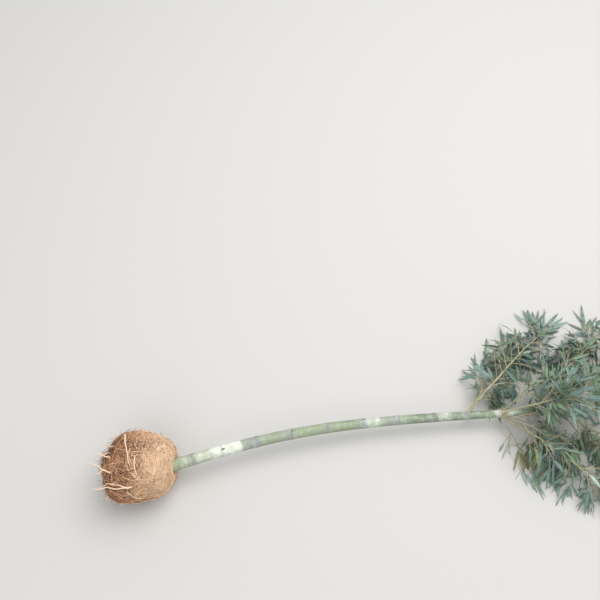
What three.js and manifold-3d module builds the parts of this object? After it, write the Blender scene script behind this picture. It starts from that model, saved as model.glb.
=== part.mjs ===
// A nursery bamboo laid on its side: a fibrous root ball out of its bag, one green culm that leans down
// from it, and a leafy crown that rests on the ground.
//
// Millimetres. The ground is z = 0, the origin is on it under the middle of the root ball, +X runs
// from the ball to the tip, +Y is the plant's left and +Z is up.
import * as THREE from "three";
import { mergeVertices } from "three/addons/utils/BufferGeometryUtils.js";
import Module from "manifold-3d";

const wasm = await Module();
wasm.setup();

const RADIANS = Math.PI / 180;
const GAP = 0.3;

// Root ball: a rounded block that narrows to the face the culm leaves by, pressed flat where it rests.
const BALL_LENGTH = 146;
const BALL_BACK_RADIUS = 82;
const BALL_FACE_RADIUS = 66;
const BALL_SETTLE = 5;
const BALL_YAW = -7.5 * RADIANS;
const BACK_SQUARENESS = 3.2;
const FACE_SQUARENESS = 6;
const BALL_LUMP = 2.6;
const BALL_RINGS = 15;
const BALL_SIDES = 26;
const SOCKET_DEPTH = 8;

// Places where the ball is worn: [end, angle, depth, start]. The wear is deepest at the ball's end,
// 1 at the face and -1 at the back, and fades along the axis to its start and round from its angle.
const WORN = [
  [1, 205, 18, 0.25],
  [-1, 40, 19, 0.3],
  [1, 20, 7, 0.3],
];

// Coarse roots on the ball: [start along the axis, start angle, end along the axis, end angle, radius, bow].
// Places along the axis are in half lengths, -1 at the end away from the culm; angles are in degrees
// round the axis, 0 at the plant's left and 90 at the top. The bow is how far the root's middle strays
// along the axis. A root that ends past -1 sticks out.
const COARSE_ROOTS = [
  [-0.4, 44, -0.07, 105, 1.9, 0],
  [0.03, 84, 0.21, 125, 1.7, -0.07],
  [0, 136, -1.12, 150, 2, 0],
  [0.02, 137, -0.66, 134, 1.6, 0],
  [-0.6, 116, -1.32, 98, 1.8, 0],
  [-0.84, 110, -1.08, 122, 1.4, 0],
  [-0.66, 90, -1.16, 80, 1.6, 0],
  [-0.4, 12, -1.05, -4, 1.7, 0],
  [0.35, -26, -0.5, -8, 1.6, 0],
  [-0.35, 190, -1.05, 204, 1.6, 0],
];
const ROOT_LEAVES_AT = -0.72;
const ROOT_STEPS = 5;
const ROOT_SIDES = 4;

// Culm: length along its plan line, its taper and the flare at its foot, the height it comes down from
// and to, and the headings it turns from and to in plan. Its foot leaves the ball a little to the left.
const CULM_LENGTH = 1500;
const CULM_FOOT_RADIUS = 12.8;
const CULM_TIP_RADIUS = 1.7;
const CULM_TAPER_POWER = 1.6;
const CULM_FLARE = 1.9;
const CULM_FLARE_LENGTH = 14;
const CULM_FOOT_HEIGHT = 64;
const CULM_FOOT_OFFSET = 5;
const CULM_TIP_HEIGHT = 30;
const CULM_DROP_POWER = 1.5;
const CULM_FIRST_HEADING = 11 * RADIANS;
const CULM_LAST_HEADING = -3.5 * RADIANS;
const CULM_TURN_LENGTH = 360;
const CULM_SIDES = 10;
const CULM_STEP = 5;

// Nodes: the first one's station, the internode lengths and the low ridge that rings each node.
const FIRST_NODE = 42;
const LONGEST_INTERNODE = 83;
const LONGEST_INTERNODE_INDEX = 3;
const INTERNODE_SPREAD = 18;
const FOOT_INTERNODE_CUT = 0.17;
const LAST_NODE_LIMIT = CULM_LENGTH - 25;
const NODE_RIDGE = 0.09;
const NODE_RIDGE_HALF_WIDTH = 3;

// Crown: boughs leave the culm's nodes in three rows. "roll" is the angle round the culm, 0 at the
// plant's left and 90 at the top; "from" and "to" bound the space of the row's masses. "reach" is the
// share of a side stem's length that the row has, and "droop" is how far its stems hang, per length.
const ROWS = {
  left: { roll: 24, from: -90, to: 56, nodes: [8, 10, 12, 14, 16, 19], reach: 1, droop: 0.44 },
  right: { roll: 158, from: 124, to: 270, nodes: [9, 11, 13, 15, 17, 20], reach: 1, droop: 0.42 },
  top: { roll: 92, from: 56, to: 124, nodes: [9, 12, 15, 18], reach: 0.62, droop: 0.16 },
};
const FIRST_CROWN_NODE = 8;
const CROWN_LEAN = 48 * RADIANS;
const BOUGH_LENGTH = 74;
const BOUGH_RADIUS = 3.1;
const BOUGH_BEND = 0.04;
const STEM_FORWARD = 0.02;
const BOUGH_SIDES = 5;
const BOUGH_STEPS = 3;
const BOUGH_SHARE_AT_TIP = 0.58;
const STEM_LENGTH = 240;
const STEM_SHARE_AT_TIP = 0.47;
const TIP_SPACE = 46;
const TIP_STEM = 84;
const SPACE_LEAD = 20;
const MASS_MARGIN = 1.5;
const GROUND_CLEARANCE = 5;
const GROUND_SOFTNESS = 3;

// One mass: a stem with twigs on alternate sides. A twig is three-sided and has two joints: leaves grow
// from the side faces of both and from its end. A leaf that would leave the mass's space turns in and
// shortens by the next pair of these shares, and is skipped after the last.
const TWIGS_A_MASS = 7;
const SPRAY_SHARE_AT_TIP = 0.62;
const TWIG_LENGTH = 56;
const TWIG_ANGLE = 32 * RADIANS;
const TWIG_TILT = 30 * RADIANS;
const TWIG_DROOP = 0.2;
const TWIG_JOINTS = [0.5, 0.93];
const JOINT_LENGTH = 4;
const STEM_RADIUS = 2.4;
const TWIG_RADIUS = 1.5;
const LEAF_LENGTH = 73;
const LEAF_WIDEST = 0.38;
const LEAF_WIDTH = 13;
const LEAF_THICKNESS = 1.6;
const LEAF_ANGLE = 38 * RADIANS;
const LEAF_DROOP = 0.2;
const LEAF_FITS = [[1, 1], [0.75, 0.9], [0.55, 0.8]];
const LOWEST_LEAF = 0.8;
const FIRST_SEED = 141;
const TIP_SEED = 91;
const LEAF_SEEDS = 1000;

// A seeded random sequence from 0 to 1: a 32-bit linear congruential generator as a share of its range.
function seeded(seed) {
  let state = (seed * 2654435769) % 4294967296;
  return () => {
    state = (state * 1664525 + 1013904223) % 4294967296;
    return state / 4294967296;
  };
}

// A random factor within a spread of 1.
function varied(random, spread) {
  return 1 + spread * (2 * random() - 1);
}

function vector(x, y, z) {
  return new THREE.Vector3(x, y, z);
}

// start + direction * a + other * b + third * c, as a new vector.
function mix(start, direction, a, other = null, b = 0, third = null, c = 0) {
  const made = start.clone().addScaledVector(direction, a);
  if (other) made.addScaledVector(other, b);
  if (third) made.addScaledVector(third, c);
  return made;
}

// A closed solid from points and triangles.
function solidFrom(points, triangles) {
  const geometry = new THREE.BufferGeometry();
  geometry.setAttribute(
    "position",
    new THREE.Float32BufferAttribute(points.flatMap((p) => [p.x, p.y, p.z]), 3),
  );
  geometry.setIndex(triangles.flat());
  const merged = mergeVertices(geometry, 1e-4);
  return new wasm.Manifold(
    new wasm.Mesh({
      numProp: 3,
      vertProperties: new Float32Array(merged.attributes.position.array),
      triVerts: new Uint32Array(merged.index.array),
    }),
  );
}

// The largest closed body of a solid: loose scraps and sealed hollows are dropped.
function mainBody(solid) {
  return solid.decompose().reduce((a, b) => (b.volume() > a.volume() ? b : a));
}

function joined(solids) {
  return mainBody(solids.reduce((a, b) => a.add(b)));
}

// A round bar along a line of points, with its own radius at each, closed by flat ends.
function tube(points, radii, sides) {
  const rings = [];
  let side = null;
  points.forEach((point, i) => {
    const before = points[Math.max(i - 1, 0)];
    const after = points[Math.min(i + 1, points.length - 1)];
    const along = after.clone().sub(before).normalize();
    if (!side) side = vector(0.01, 0.02, 1);
    side.addScaledVector(along, -side.dot(along)).normalize();
    const across = along.clone().cross(side);
    for (let k = 0; k < sides; k += 1) {
      const angle = (2 * Math.PI * k) / sides;
      rings.push(mix(point, side, radii[i] * Math.cos(angle), across, radii[i] * Math.sin(angle)));
    }
  });
  const triangles = [];
  for (let i = 0; i + 1 < points.length; i += 1) {
    for (let k = 0; k < sides; k += 1) {
      const a = i * sides + k;
      const b = i * sides + ((k + 1) % sides);
      triangles.push([a, b, b + sides], [a, b + sides, a + sides]);
    }
  }
  const last = (points.length - 1) * sides;
  for (let k = 1; k + 1 < sides; k += 1) {
    triangles.push([0, k + 1, k], [last, last + k, last + k + 1]);
  }
  return solidFrom(rings, triangles);
}

// The culm's plan line, summed in short steps: its heading turns from the first to the last
// along a bell curve of its own length.
function culmLine() {
  const line = [];
  let x = (BALL_LENGTH / 2) * Math.cos(BALL_YAW);
  let y = (BALL_LENGTH / 2) * Math.sin(BALL_YAW) + CULM_FOOT_OFFSET;
  for (let s = 0; s <= CULM_LENGTH; s += CULM_STEP) {
    line.push([x, y]);
    const turned = Math.exp(-(((s + CULM_STEP / 2) / CULM_TURN_LENGTH) ** 2));
    const heading = CULM_LAST_HEADING + (CULM_FIRST_HEADING - CULM_LAST_HEADING) * turned;
    x += CULM_STEP * Math.cos(heading);
    y += CULM_STEP * Math.sin(heading);
  }
  return line;
}

const CULM_LINE = culmLine();

// The centre of the culm at station s. Past either end it runs on straight.
function culmPoint(s) {
  const last = CULM_LINE.length - 2;
  const i = Math.min(Math.max(Math.floor(s / CULM_STEP), 0), last);
  const share = s / CULM_STEP - i;
  const [x0, y0] = CULM_LINE[i];
  const [x1, y1] = CULM_LINE[i + 1];
  const left = Math.max(1 - s / CULM_LENGTH, 0);
  const z = CULM_TIP_HEIGHT + (CULM_FOOT_HEIGHT - CULM_TIP_HEIGHT) * left ** CULM_DROP_POWER;
  return vector(x0 + (x1 - x0) * share, y0 + (y1 - y0) * share, z);
}

// Unit vectors at station s: along the culm, level to its left, and up from it.
function culmFrame(s) {
  const along = culmPoint(s + 1).sub(culmPoint(s - 1)).normalize();
  const left = vector(0, 0, 1).cross(along).normalize();
  return { along, left, up: along.clone().cross(left) };
}

// The culm's radius between its nodes: a slow taper that quickens towards the tip, and a flared foot.
function culmRadius(s) {
  const share = Math.min(Math.max(s / CULM_LENGTH, 0), 1);
  const taper = CULM_TIP_RADIUS + (CULM_FOOT_RADIUS - CULM_TIP_RADIUS) * (1 - share ** CULM_TAPER_POWER);
  return taper + CULM_FLARE * Math.exp(-Math.max(s, 0) / CULM_FLARE_LENGTH);
}

// Stations of the nodes: the internodes lengthen to the fourth and then shorten to the tip.
function nodeStations() {
  const stations = [];
  for (let s = FIRST_NODE, i = 0; s < LAST_NODE_LIMIT; i += 1) {
    stations.push(s);
    const foot = 1 - FOOT_INTERNODE_CUT * Math.exp(-1.5 * i);
    s += LONGEST_INTERNODE * foot * Math.exp(-(((i - LONGEST_INTERNODE_INDEX) / INTERNODE_SPREAD) ** 2));
  }
  return stations;
}

const NODES = nodeStations();

// The culm with a low ridge at each node, and the same shape grown by a gap for what meets it.
function culmSolid(grown = 0) {
  const rings = [[-SOCKET_DEPTH + GAP - grown, 0]];
  rings.push([CULM_FLARE_LENGTH, 0]);
  NODES.forEach((s) => {
    rings.push([s - NODE_RIDGE_HALF_WIDTH, 0], [s, NODE_RIDGE], [s + NODE_RIDGE_HALF_WIDTH, 0]);
  });
  rings.push([CULM_LENGTH, 0]);
  const points = rings.map(([s]) => culmPoint(s));
  const radii = rings.map(([s, ridge]) => culmRadius(s) * (1 + ridge) + grown);
  return tube(points, radii, CULM_SIDES);
}

// A point on the root ball's surface. "place" runs from -1 to 1 along the axis and "angle" round it.
// The outline is a cone rounded as a superellipse, with a few long waves as lumps that fade underneath,
// less its wear: a smooth step of the place past the wear's start, times a squared cosine round it.
function ballPoint(place, angle, lift = 0) {
  const squareness = place < 0 ? BACK_SQUARENESS : FACE_SQUARENESS;
  const round = (1 - Math.min(Math.abs(place), 1) ** squareness) ** (1 / squareness);
  const cone = (BALL_BACK_RADIUS + BALL_FACE_RADIUS - place * (BALL_BACK_RADIUS - BALL_FACE_RADIUS)) / 2;
  const waves =
    Math.sin(3 * angle + 4 * place) +
    0.7 * Math.sin(5 * angle - 6 * place + 1.3) +
    0.6 * Math.cos(2 * angle + 9 * place);
  const edge = Math.min(round * 1.5, 1);
  const lump = BALL_LUMP * waves * edge * (0.6 + 0.4 * Math.sin(angle));
  const wear = WORN.reduce((total, [end, at, depth, start]) => {
    const share = Math.min(Math.max((place * end - start) / (1 - start), 0), 1);
    const facing = Math.max(Math.cos(angle - at * RADIANS), 0) ** 2;
    return total + depth * share * share * (3 - 2 * share) * facing;
  }, 0);
  const radius = cone * round + lump - wear * edge + lift;
  const along = (BALL_LENGTH / 2) * place;
  const across = radius * Math.cos(angle);
  const height = cone - BALL_SETTLE + radius * Math.sin(angle);
  return vector(
    along * Math.cos(BALL_YAW) - across * Math.sin(BALL_YAW),
    along * Math.sin(BALL_YAW) + across * Math.cos(BALL_YAW),
    Math.max(height, 0),
  );
}

function ballBody() {
  const points = [ballPoint(-1, 0, 0)];
  for (let i = 1; i < BALL_RINGS; i += 1) {
    const turn = Math.cos((Math.PI * i) / BALL_RINGS);
    const squareness = turn > 0 ? BACK_SQUARENESS : FACE_SQUARENESS;
    const place = -Math.sign(turn) * Math.abs(turn) ** (2 / squareness);
    for (let k = 0; k < BALL_SIDES; k += 1) {
      points.push(ballPoint(place, (2 * Math.PI * k) / BALL_SIDES));
    }
  }
  points.push(ballPoint(1, 0, 0));
  const last = points.length - 1;
  const triangles = [];
  for (let k = 0; k < BALL_SIDES; k += 1) {
    const next = (k + 1) % BALL_SIDES;
    triangles.push([0, 1 + next, 1 + k]);
    for (let i = 0; i + 2 < BALL_RINGS; i += 1) {
      const a = 1 + i * BALL_SIDES + k;
      const b = 1 + i * BALL_SIDES + next;
      triangles.push([a, b, b + BALL_SIDES], [a, b + BALL_SIDES, a + BALL_SIDES]);
    }
    triangles.push([last, last - BALL_SIDES + k, last - BALL_SIDES + next]);
  }
  return solidFrom(points, triangles);
}

// One coarse root, that dives into the ball's surface at its start and lies on it. Past the ball's end it runs out level.
function coarseRoot([place0, angle0, place1, angle1, radius, bow]) {
  const points = [];
  for (let i = 0; i <= ROOT_STEPS; i += 1) {
    const t = i / ROOT_STEPS;
    const place = place0 + (place1 - place0) * t + bow * 4 * t * (1 - t);
    const angle = (angle0 + (angle1 - angle0) * t) * RADIANS;
    const held = Math.max(place, ROOT_LEAVES_AT);
    const point = ballPoint(held, angle, 0.3 * radius - (i === 0 ? 2 * radius : 0));
    const out = ((place - held) * BALL_LENGTH) / 2;
    points.push(point.add(vector(out * Math.cos(BALL_YAW), out * Math.sin(BALL_YAW), 0)));
  }
  const radii = points.map((_, i) => radius * (1 - 0.45 * (i / ROOT_STEPS)));
  return tube(points, radii, ROOT_SIDES);
}

function rootBall() {
  const body = [ballBody(), ...COARSE_ROOTS.map(coarseRoot)];
  return mainBody(joined(body).subtract(culmSolid(GAP)));
}

// Where a point lies in the crown: the station its branch would start from, leaning at the crown's
// angle, its roll round the culm in degrees, and its distance from the culm's centre.
function crownPlace(point) {
  let s = point.x - CULM_LINE[0][0];
  for (let i = 0; i < 3; i += 1) {
    const frame = culmFrame(s);
    s += point.clone().sub(culmPoint(s)).dot(frame.along);
  }
  const { left, up } = culmFrame(s);
  const offset = point.clone().sub(culmPoint(s));
  const distance = offset.length();
  const roll = Math.atan2(offset.dot(up), offset.dot(left)) / RADIANS;
  return { s, start: s - distance / Math.tan(CROWN_LEAN), roll, distance };
}

// How far a roll is inside a row's bounds, as a length at that distance from the culm.
function insideRow(roll, row, distance) {
  const turned = roll < row.from ? roll + 360 : roll;
  const inside = Math.min(turned - row.from, row.to - turned);
  return inside < 90 ? distance * Math.sin(inside * RADIANS) : distance;
}

// The spaces of the masses. Each holds a row's sector, from half way to the node before on that row
// to half way to the node after.
function crownSpaces() {
  const spaces = [];
  Object.entries(ROWS).forEach(([name, row]) => {
    row.nodes.forEach((node, i) => {
      const here = NODES[node];
      const before = i ? (NODES[row.nodes[i - 1]] + here) / 2 + SPACE_LEAD : here - LONGEST_INTERNODE;
      const last = i + 1 === row.nodes.length;
      const after = last ? CULM_LENGTH - TIP_SPACE : (NODES[row.nodes[i + 1]] + here) / 2 + SPACE_LEAD;
      spaces.push({ name: `${name}_${i + 1}`, row, s: here, before, after });
    });
  });
  return spaces;
}

function inSpace(space, point) {
  const { s, start, roll, distance } = crownPlace(point);
  if (point.z < LOWEST_LEAF - 0.01) return false;
  if (distance < culmRadius(s) + MASS_MARGIN + 2) return false;
  const lean = Math.sin(CROWN_LEAN);
  if ((start - space.before) * lean < MASS_MARGIN) return false;
  if ((space.after - start) * lean < MASS_MARGIN) return false;
  return insideRow(roll, space.row, distance) > MASS_MARGIN;
}

// A height that stays above the ground clearance: it is left alone well above it and levels off near it.
function softened(height) {
  const low = height - GROUND_CLEARANCE;
  return GROUND_CLEARANCE + (low + Math.sqrt(low * low + 4 * GROUND_SOFTNESS ** 2)) / 2;
}

// A limb is a parabola, start + direction * length * t + bend * length * t^2, kept off the ground.
function limb(start, direction, bend, length) {
  const at = (t) => {
    const point = mix(start, direction, length * t, bend, length * t * t);
    point.z = softened(point.z) + start.z - softened(start.z);
    return point;
  };
  return { at, length, along: (t) => at(t + 0.01).sub(at(t - 0.01)).normalize() };
}

function limbSolid(line, radii, sides, steps) {
  const points = [];
  const sizes = [];
  for (let i = 0; i <= steps; i += 1) {
    points.push(line.at(i / steps));
    sizes.push(radii[0] + (radii[1] - radii[0]) * (i / steps));
  }
  return tube(points, sizes, sides);
}

// Limbs shrink towards the tip: 1 at the crown's foot, and a given share of that at the culm's tip.
function shareAt(s, shareAtTip) {
  const vigour = (CULM_LENGTH - s) / (CULM_LENGTH - NODES[FIRST_CROWN_NODE]);
  return shareAtTip + (1 - shareAtTip) * Math.min(1, Math.max(0, vigour));
}

// A bough leaves its node at a wide angle and bends forward.
function boughLine(space) {
  const { along, left, up } = culmFrame(space.s);
  const roll = space.row.roll * RADIANS;
  const outward = mix(left.clone().multiplyScalar(Math.cos(roll)), up, Math.sin(roll));
  const direction = mix(outward.multiplyScalar(Math.sin(CROWN_LEAN)), along, Math.cos(CROWN_LEAN));
  const length = BOUGH_LENGTH * shareAt(space.s, BOUGH_SHARE_AT_TIP);
  return limb(culmPoint(space.s), direction, along.multiplyScalar(BOUGH_BEND), length);
}

function bough(space) {
  const size = BOUGH_RADIUS * shareAt(space.s, BOUGH_SHARE_AT_TIP);
  const bar = limbSolid(boughLine(space), [size, size * 0.75], BOUGH_SIDES, BOUGH_STEPS);
  return mainBody(bar.subtract(culmSolid(GAP)));
}

// A leaf blade from its neck: a wide flat triangular section at a third and a point that hangs lower.
// What would reach the ground lies on it. It is null where it leaves its mass's space.
function blade(neck, direction, side, length, space) {
  const normal = direction.clone().cross(side).normalize();
  const middle = mix(neck, direction, length * LEAF_WIDEST);
  const tip = mix(neck, direction, length, vector(0, 0, -1), length * LEAF_DROOP);
  [middle, tip].forEach((point) => {
    point.z = Math.max(point.z, LOWEST_LEAF + LEAF_THICKNESS);
  });
  const half = (LEAF_WIDTH / 2) * (length / LEAF_LENGTH);
  const wide = [
    mix(middle, side, -half, normal, LEAF_THICKNESS / 3),
    mix(middle, normal, (-2 * LEAF_THICKNESS) / 3),
    mix(middle, side, half, normal, LEAF_THICKNESS / 3),
  ];
  const outer = mix(middle, tip.clone().sub(middle), 0.5);
  return [...wide, outer, tip].every((point) => inSpace(space, point)) ? { wide, tip } : null;
}

// The turn of a leaf's wide section that twists it least from its neck face.
function straightest(neck, wide) {
  const turns = [0, 1, 2].map((turn) => neck.map((_, k) => wide[(k + turn) % 3]));
  const twist = (turned) => turned.reduce((sum, point, k) => sum + point.distanceToSquared(neck[k]), 0);
  return turns.reduce((a, b) => (twist(b) < twist(a) ? b : a));
}

// One twig with its leaves as a closed mesh. Rings of three points carry it; its side faces look up,
// down left and down right, and a leaf takes the place of one triangle of the joint that it grows on.
function twigSolid({ line, flat, size }, random, space) {
  const points = [];
  const triangles = [];

  // A wall of four corners as two triangles, split along the diagonal that makes it bulge.
  const bulging = (a, b, c, d) => {
    const out = points[b].clone().sub(points[a]).cross(points[c].clone().sub(points[a]));
    const bulges = out.dot(points[d].clone().sub(points[a])) < 0;
    return bulges ? [[a, b, c], [a, c, d]] : [[a, b, d], [b, c, d]];
  };
  const frameAt = (t) => {
    const along = line.along(t);
    const across = mix(flat, along, -flat.dot(along)).normalize();
    return { along, across, over: along.clone().cross(across) };
  };
  const ring = (t, radius) => {
    const { across, over } = frameAt(t);
    [30, 150, 270].forEach((turn) => {
      const angle = turn * RADIANS;
      points.push(mix(line.at(t), across, radius * Math.cos(angle), over, radius * Math.sin(angle)));
    });
    return points.length - 3;
  };
  const leafOn = (face, t, turn, rise) => {
    const { along, across, over } = frameAt(t);
    const corners = face.map((i) => points[i]);
    const neck = mix(corners[0], corners[1], 1, corners[2], 1).divideScalar(3);
    const length = LEAF_LENGTH * size * varied(random, 0.15);
    for (const [turned, shortened] of LEAF_FITS) {
      const ahead = along.clone().multiplyScalar(Math.cos(turn * turned));
      const level = mix(ahead, across, Math.sin(turn * turned));
      const direction = mix(level, over, Math.sin(rise * turned)).normalize();
      const side = mix(across, direction, -across.dot(direction)).normalize();
      const made = blade(neck, direction, side, length * shortened, space);
      if (made) {
        const first = points.length;
        points.push(...straightest(corners, made.wide), made.tip);
        face.forEach((corner, k) => {
          const next = (k + 1) % 3;
          triangles.push(...bulging(corner, face[next], first + next, first + k));
          triangles.push([first + k, first + next, first + 3]);
        });
        return;
      }
    }
    triangles.push(face);
  };
  const walls = (a, b) => {
    [0, 1, 2].forEach((k) => {
      const next = (k + 1) % 3;
      triangles.push([a + k, a + next, b + next], [a + k, b + next, b + k]);
    });
  };
  const joint = (t, radius) => {
    const a = ring(t, radius);
    const b = ring(t + JOINT_LENGTH / line.length, radius);
    const angle = () => LEAF_ANGLE * varied(random, 0.25);
    [0, 1, 2].forEach((k) => triangles.push([a + k, b + ((k + 1) % 3), b + k]));
    if (t > 0.6) leafOn([a, a + 1, b + 1], t, 0, angle() * 0.7);
    else triangles.push([a, a + 1, b + 1]);
    leafOn([a + 1, a + 2, b + 2], t, -angle(), 0);
    leafOn([a + 2, a, b], t, angle(), 0);
    return [a, b];
  };

  let last = ring(0, TWIG_RADIUS);
  triangles.push([last, last + 2, last + 1]);
  TWIG_JOINTS.forEach((t) => {
    const [a, b] = joint(t, TWIG_RADIUS * (1 - 0.3 * t));
    walls(last, a);
    last = b;
  });
  leafOn([last, last + 1, last + 2], 1, 0, 0);
  return solidFrom(points, triangles);
}

// The twigs of a mass: on alternate sides of its stem, the last one in line with it. A twig that would
// leave the mass's space is skipped.
function twigsOf(space, stem, seed) {
  const random = seeded(seed);
  const size = shareAt(space.s, SPRAY_SHARE_AT_TIP);
  const twigs = [];
  for (let j = 0; j < TWIGS_A_MASS; j += 1) {
    const t = (j + 0.5) / (TWIGS_A_MASS - 0.5);
    const along = stem.along(t);
    const across = vector(0, 0, 1).cross(along).normalize();
    const over = along.clone().cross(across);
    const last = j === TWIGS_A_MASS - 1;
    const turn = last ? 0 : (j % 2 ? 1 : -1) * TWIG_ANGLE * varied(random, 0.2);
    const tilt = TWIG_TILT * (2 * random() - 1);
    const length = TWIG_LENGTH * size * varied(random, 0.15);
    const level = mix(along.multiplyScalar(Math.cos(turn)), across, Math.sin(turn));
    const direction = mix(level.multiplyScalar(Math.cos(tilt)), over, Math.sin(tilt));
    const line = limb(stem.at(Math.min(t, 0.97)), direction, vector(0, 0, -TWIG_DROOP), length);
    const flat = mix(across, over, 0.5 * (2 * random() - 1));
    if ([0.5, 1].every((share) => inSpace(space, line.at(share)))) twigs.push({ line, flat, size });
  }
  return twigs;
}

// A mass of foliage: a stem that goes on from its bough, its twigs and their leaves.
function mass(space, stem, seed) {
  const random = seeded(seed + LEAF_SEEDS);
  const solids = [limbSolid(stem, [STEM_RADIUS, STEM_RADIUS * 0.7], 3, 4)];
  twigsOf(space, stem, seed).forEach((twig) => solids.push(twigSolid(twig, random, space)));
  return joined(solids);
}

// A side mass's stem starts a gap past its bough's tip, in line with it, and sags to its reach.
function massStem(space) {
  const line = boughLine(space);
  const along = line.along(1);
  const reach = STEM_LENGTH * shareAt(space.s, STEM_SHARE_AT_TIP) * space.row.reach;
  const bend = vector(STEM_FORWARD, 0, -space.row.droop);
  return limb(mix(line.at(1), along, GAP), along, bend, reach);
}

// The tip mass carries the culm's own line on past its end, and its leaves may go all round it.
function tipSpace() {
  const row = { from: -1000, to: 1000 };
  const before = CULM_LENGTH - TIP_SPACE;
  return { name: "tip", row, s: CULM_LENGTH, before, after: CULM_LENGTH + STEM_LENGTH };
}

function tipStem() {
  const { along } = culmFrame(CULM_LENGTH);
  return limb(mix(culmPoint(CULM_LENGTH), along, GAP), along, vector(0, 0, -0.06), TIP_STEM);
}

// Materials: colours of the real surfaces, all of them dull.
function material(colour, roughness) {
  return new THREE.MeshStandardMaterial({ color: colour, roughness, metalness: 0 });
}

const FIBRE = material(0xb98a5e, 0.95);
const CULM_GREEN = material(0x93a67c, 0.55);
const BRANCH_STRAW = material(0xa9a878, 0.7);
const LEAF_GREEN = material(0x6f8263, 0.65);

function meshOf(name, solid, surface) {
  const made = solid.getMesh();
  const geometry = new THREE.BufferGeometry();
  geometry.setAttribute("position", new THREE.BufferAttribute(made.vertProperties, 3));
  geometry.setIndex(new THREE.BufferAttribute(made.triVerts, 1));
  const mesh = new THREE.Mesh(geometry, surface);
  mesh.name = name;
  return mesh;
}

const plant = new THREE.Group();
plant.add(meshOf("root_ball", rootBall(), FIBRE));
plant.add(meshOf("culm", culmSolid(), CULM_GREEN));
crownSpaces().forEach((space, i) => {
  plant.add(meshOf(`bough_${space.name}`, bough(space), BRANCH_STRAW));
  plant.add(meshOf(`leaves_${space.name}`, mass(space, massStem(space), FIRST_SEED + i), LEAF_GREEN));
});
plant.add(meshOf("leaves_tip", mass(tipSpace(), tipStem(), TIP_SEED), LEAF_GREEN));

export default plant;
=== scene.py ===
import bpy
import numpy as np
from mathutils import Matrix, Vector


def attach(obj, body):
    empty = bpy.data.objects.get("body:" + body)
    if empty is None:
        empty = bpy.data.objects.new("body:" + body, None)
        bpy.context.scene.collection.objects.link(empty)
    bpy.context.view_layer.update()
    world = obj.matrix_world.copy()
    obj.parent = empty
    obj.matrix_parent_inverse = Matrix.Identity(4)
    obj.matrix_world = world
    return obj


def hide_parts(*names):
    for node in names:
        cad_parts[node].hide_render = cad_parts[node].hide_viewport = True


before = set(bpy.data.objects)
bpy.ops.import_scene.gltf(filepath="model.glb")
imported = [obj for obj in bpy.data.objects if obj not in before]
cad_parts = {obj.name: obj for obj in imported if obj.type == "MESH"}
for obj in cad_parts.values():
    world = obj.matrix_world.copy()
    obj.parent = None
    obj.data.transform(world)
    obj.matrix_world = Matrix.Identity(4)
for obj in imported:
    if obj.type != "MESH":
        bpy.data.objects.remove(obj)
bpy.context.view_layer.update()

# Culm: one woody bamboo cane, hollow and jointed, that leaves the root ball and lies down to its tip.
# A waxy bloom covers its foot and what lies under each joint, and a dark scar rings it where a sheath fell.
# Lengths are in millimetres, and stations are lengths along the culm from its foot.
MM = 0.001
BALL_LENGTH = 146
BALL_YAW = np.radians(-7.5)
SOCKET_DEPTH = 8
CULM_LENGTH = 1500
CULM_FOOT_RADIUS = 12.8
CULM_TIP_RADIUS = 1.7
CULM_TAPER_POWER = 1.6
CULM_FLARE = 1.9
CULM_FLARE_LENGTH = 14
CULM_FOOT_HEIGHT = 64
CULM_FOOT_OFFSET = 5
CULM_TIP_HEIGHT = 30
CULM_DROP_POWER = 1.5
CULM_FIRST_HEADING = np.radians(11)
CULM_LAST_HEADING = np.radians(-3.5)
CULM_TURN_LENGTH = 360
CULM_STEP = 5
CULM_SIDES = 44
RING_SPACING = 4
FIRST_NODE = 42
LONGEST_INTERNODE = 83
LONGEST_INTERNODE_INDEX = 3
INTERNODE_SPREAD = 18
FOOT_INTERNODE_CUT = 0.17
FOOT_INTERNODE_FADE = 1.5
LAST_NODE_MARGIN = 25
FIRST_CROWN_NODE = 8
# Relief of a joint: how far each ring is above it, how high it stands for the culm's radius, and its width.
JOINT_RELIEF = [(-1.2, 0.075, 1.1), (1.2, -0.03, 1.0), (4.2, 0.06, 2.4), (0, 0.015, 9)]
NEAR_JOINT = np.arange(-9, 12.01, 0.6)
# The hollow over a branching joint: start, fade, end and fade above the joint, and the roll of its middle.
BRANCH_HOLLOW = (6, 12, 62, 30)
BRANCH_HOLLOW_DEPTH = 0.07
BRANCH_HOLLOW_POWER = 6
BRANCH_HOLLOW_ROLLS = np.radians([260, 80])
UNEVENNESS = 0.012
UNEVEN_RADIUS = 14
# Bloom: start, fade, end, fade and thickness of each patch, and the same bloom thinly all over.
BLOOM_PATCHES = [
    (6, 8, 34, 6, 0.3), (46, 14, 80, 12, 0.34), (70, 22, 157, 2.5, 0.85), (120, 8, 156, 3, 0.1),
    (150, 40, 190, 30, 0.1), (432, 16, 478, 8, 0.42), (600, 20, 650, 20, 0.35), (745, 15, 800, 15, 0.4),
    (890, 20, 930, 10, 0.5), (1030, 20, 1090, 20, 0.4),
]
BLOOM_ALL_OVER = 0.08
BLOOM_UNDER_JOINT = 0.16
BLOOM_UNDER_JOINT_LENGTH = 9
# Grey patches: station, width and strength. They begin where the foot's thick bloom ends.
GREY_PATCHES = [(176, 34, 0.6), (250, 18, 0.4), (498, 20, 0.4)]
GREY_START = 155
GREY_FADE = 4
SCAR_WIDTH = 1.9
LILAC_WIDTH = 8.5
# Past SHADED_START the culm is painted darker, as the painted shadow of the neighbouring culms that lie over
# it.
SHADED_START = 440
SHADED_FADE = 120
CULM_GREEN = (147, 161, 130)
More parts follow.
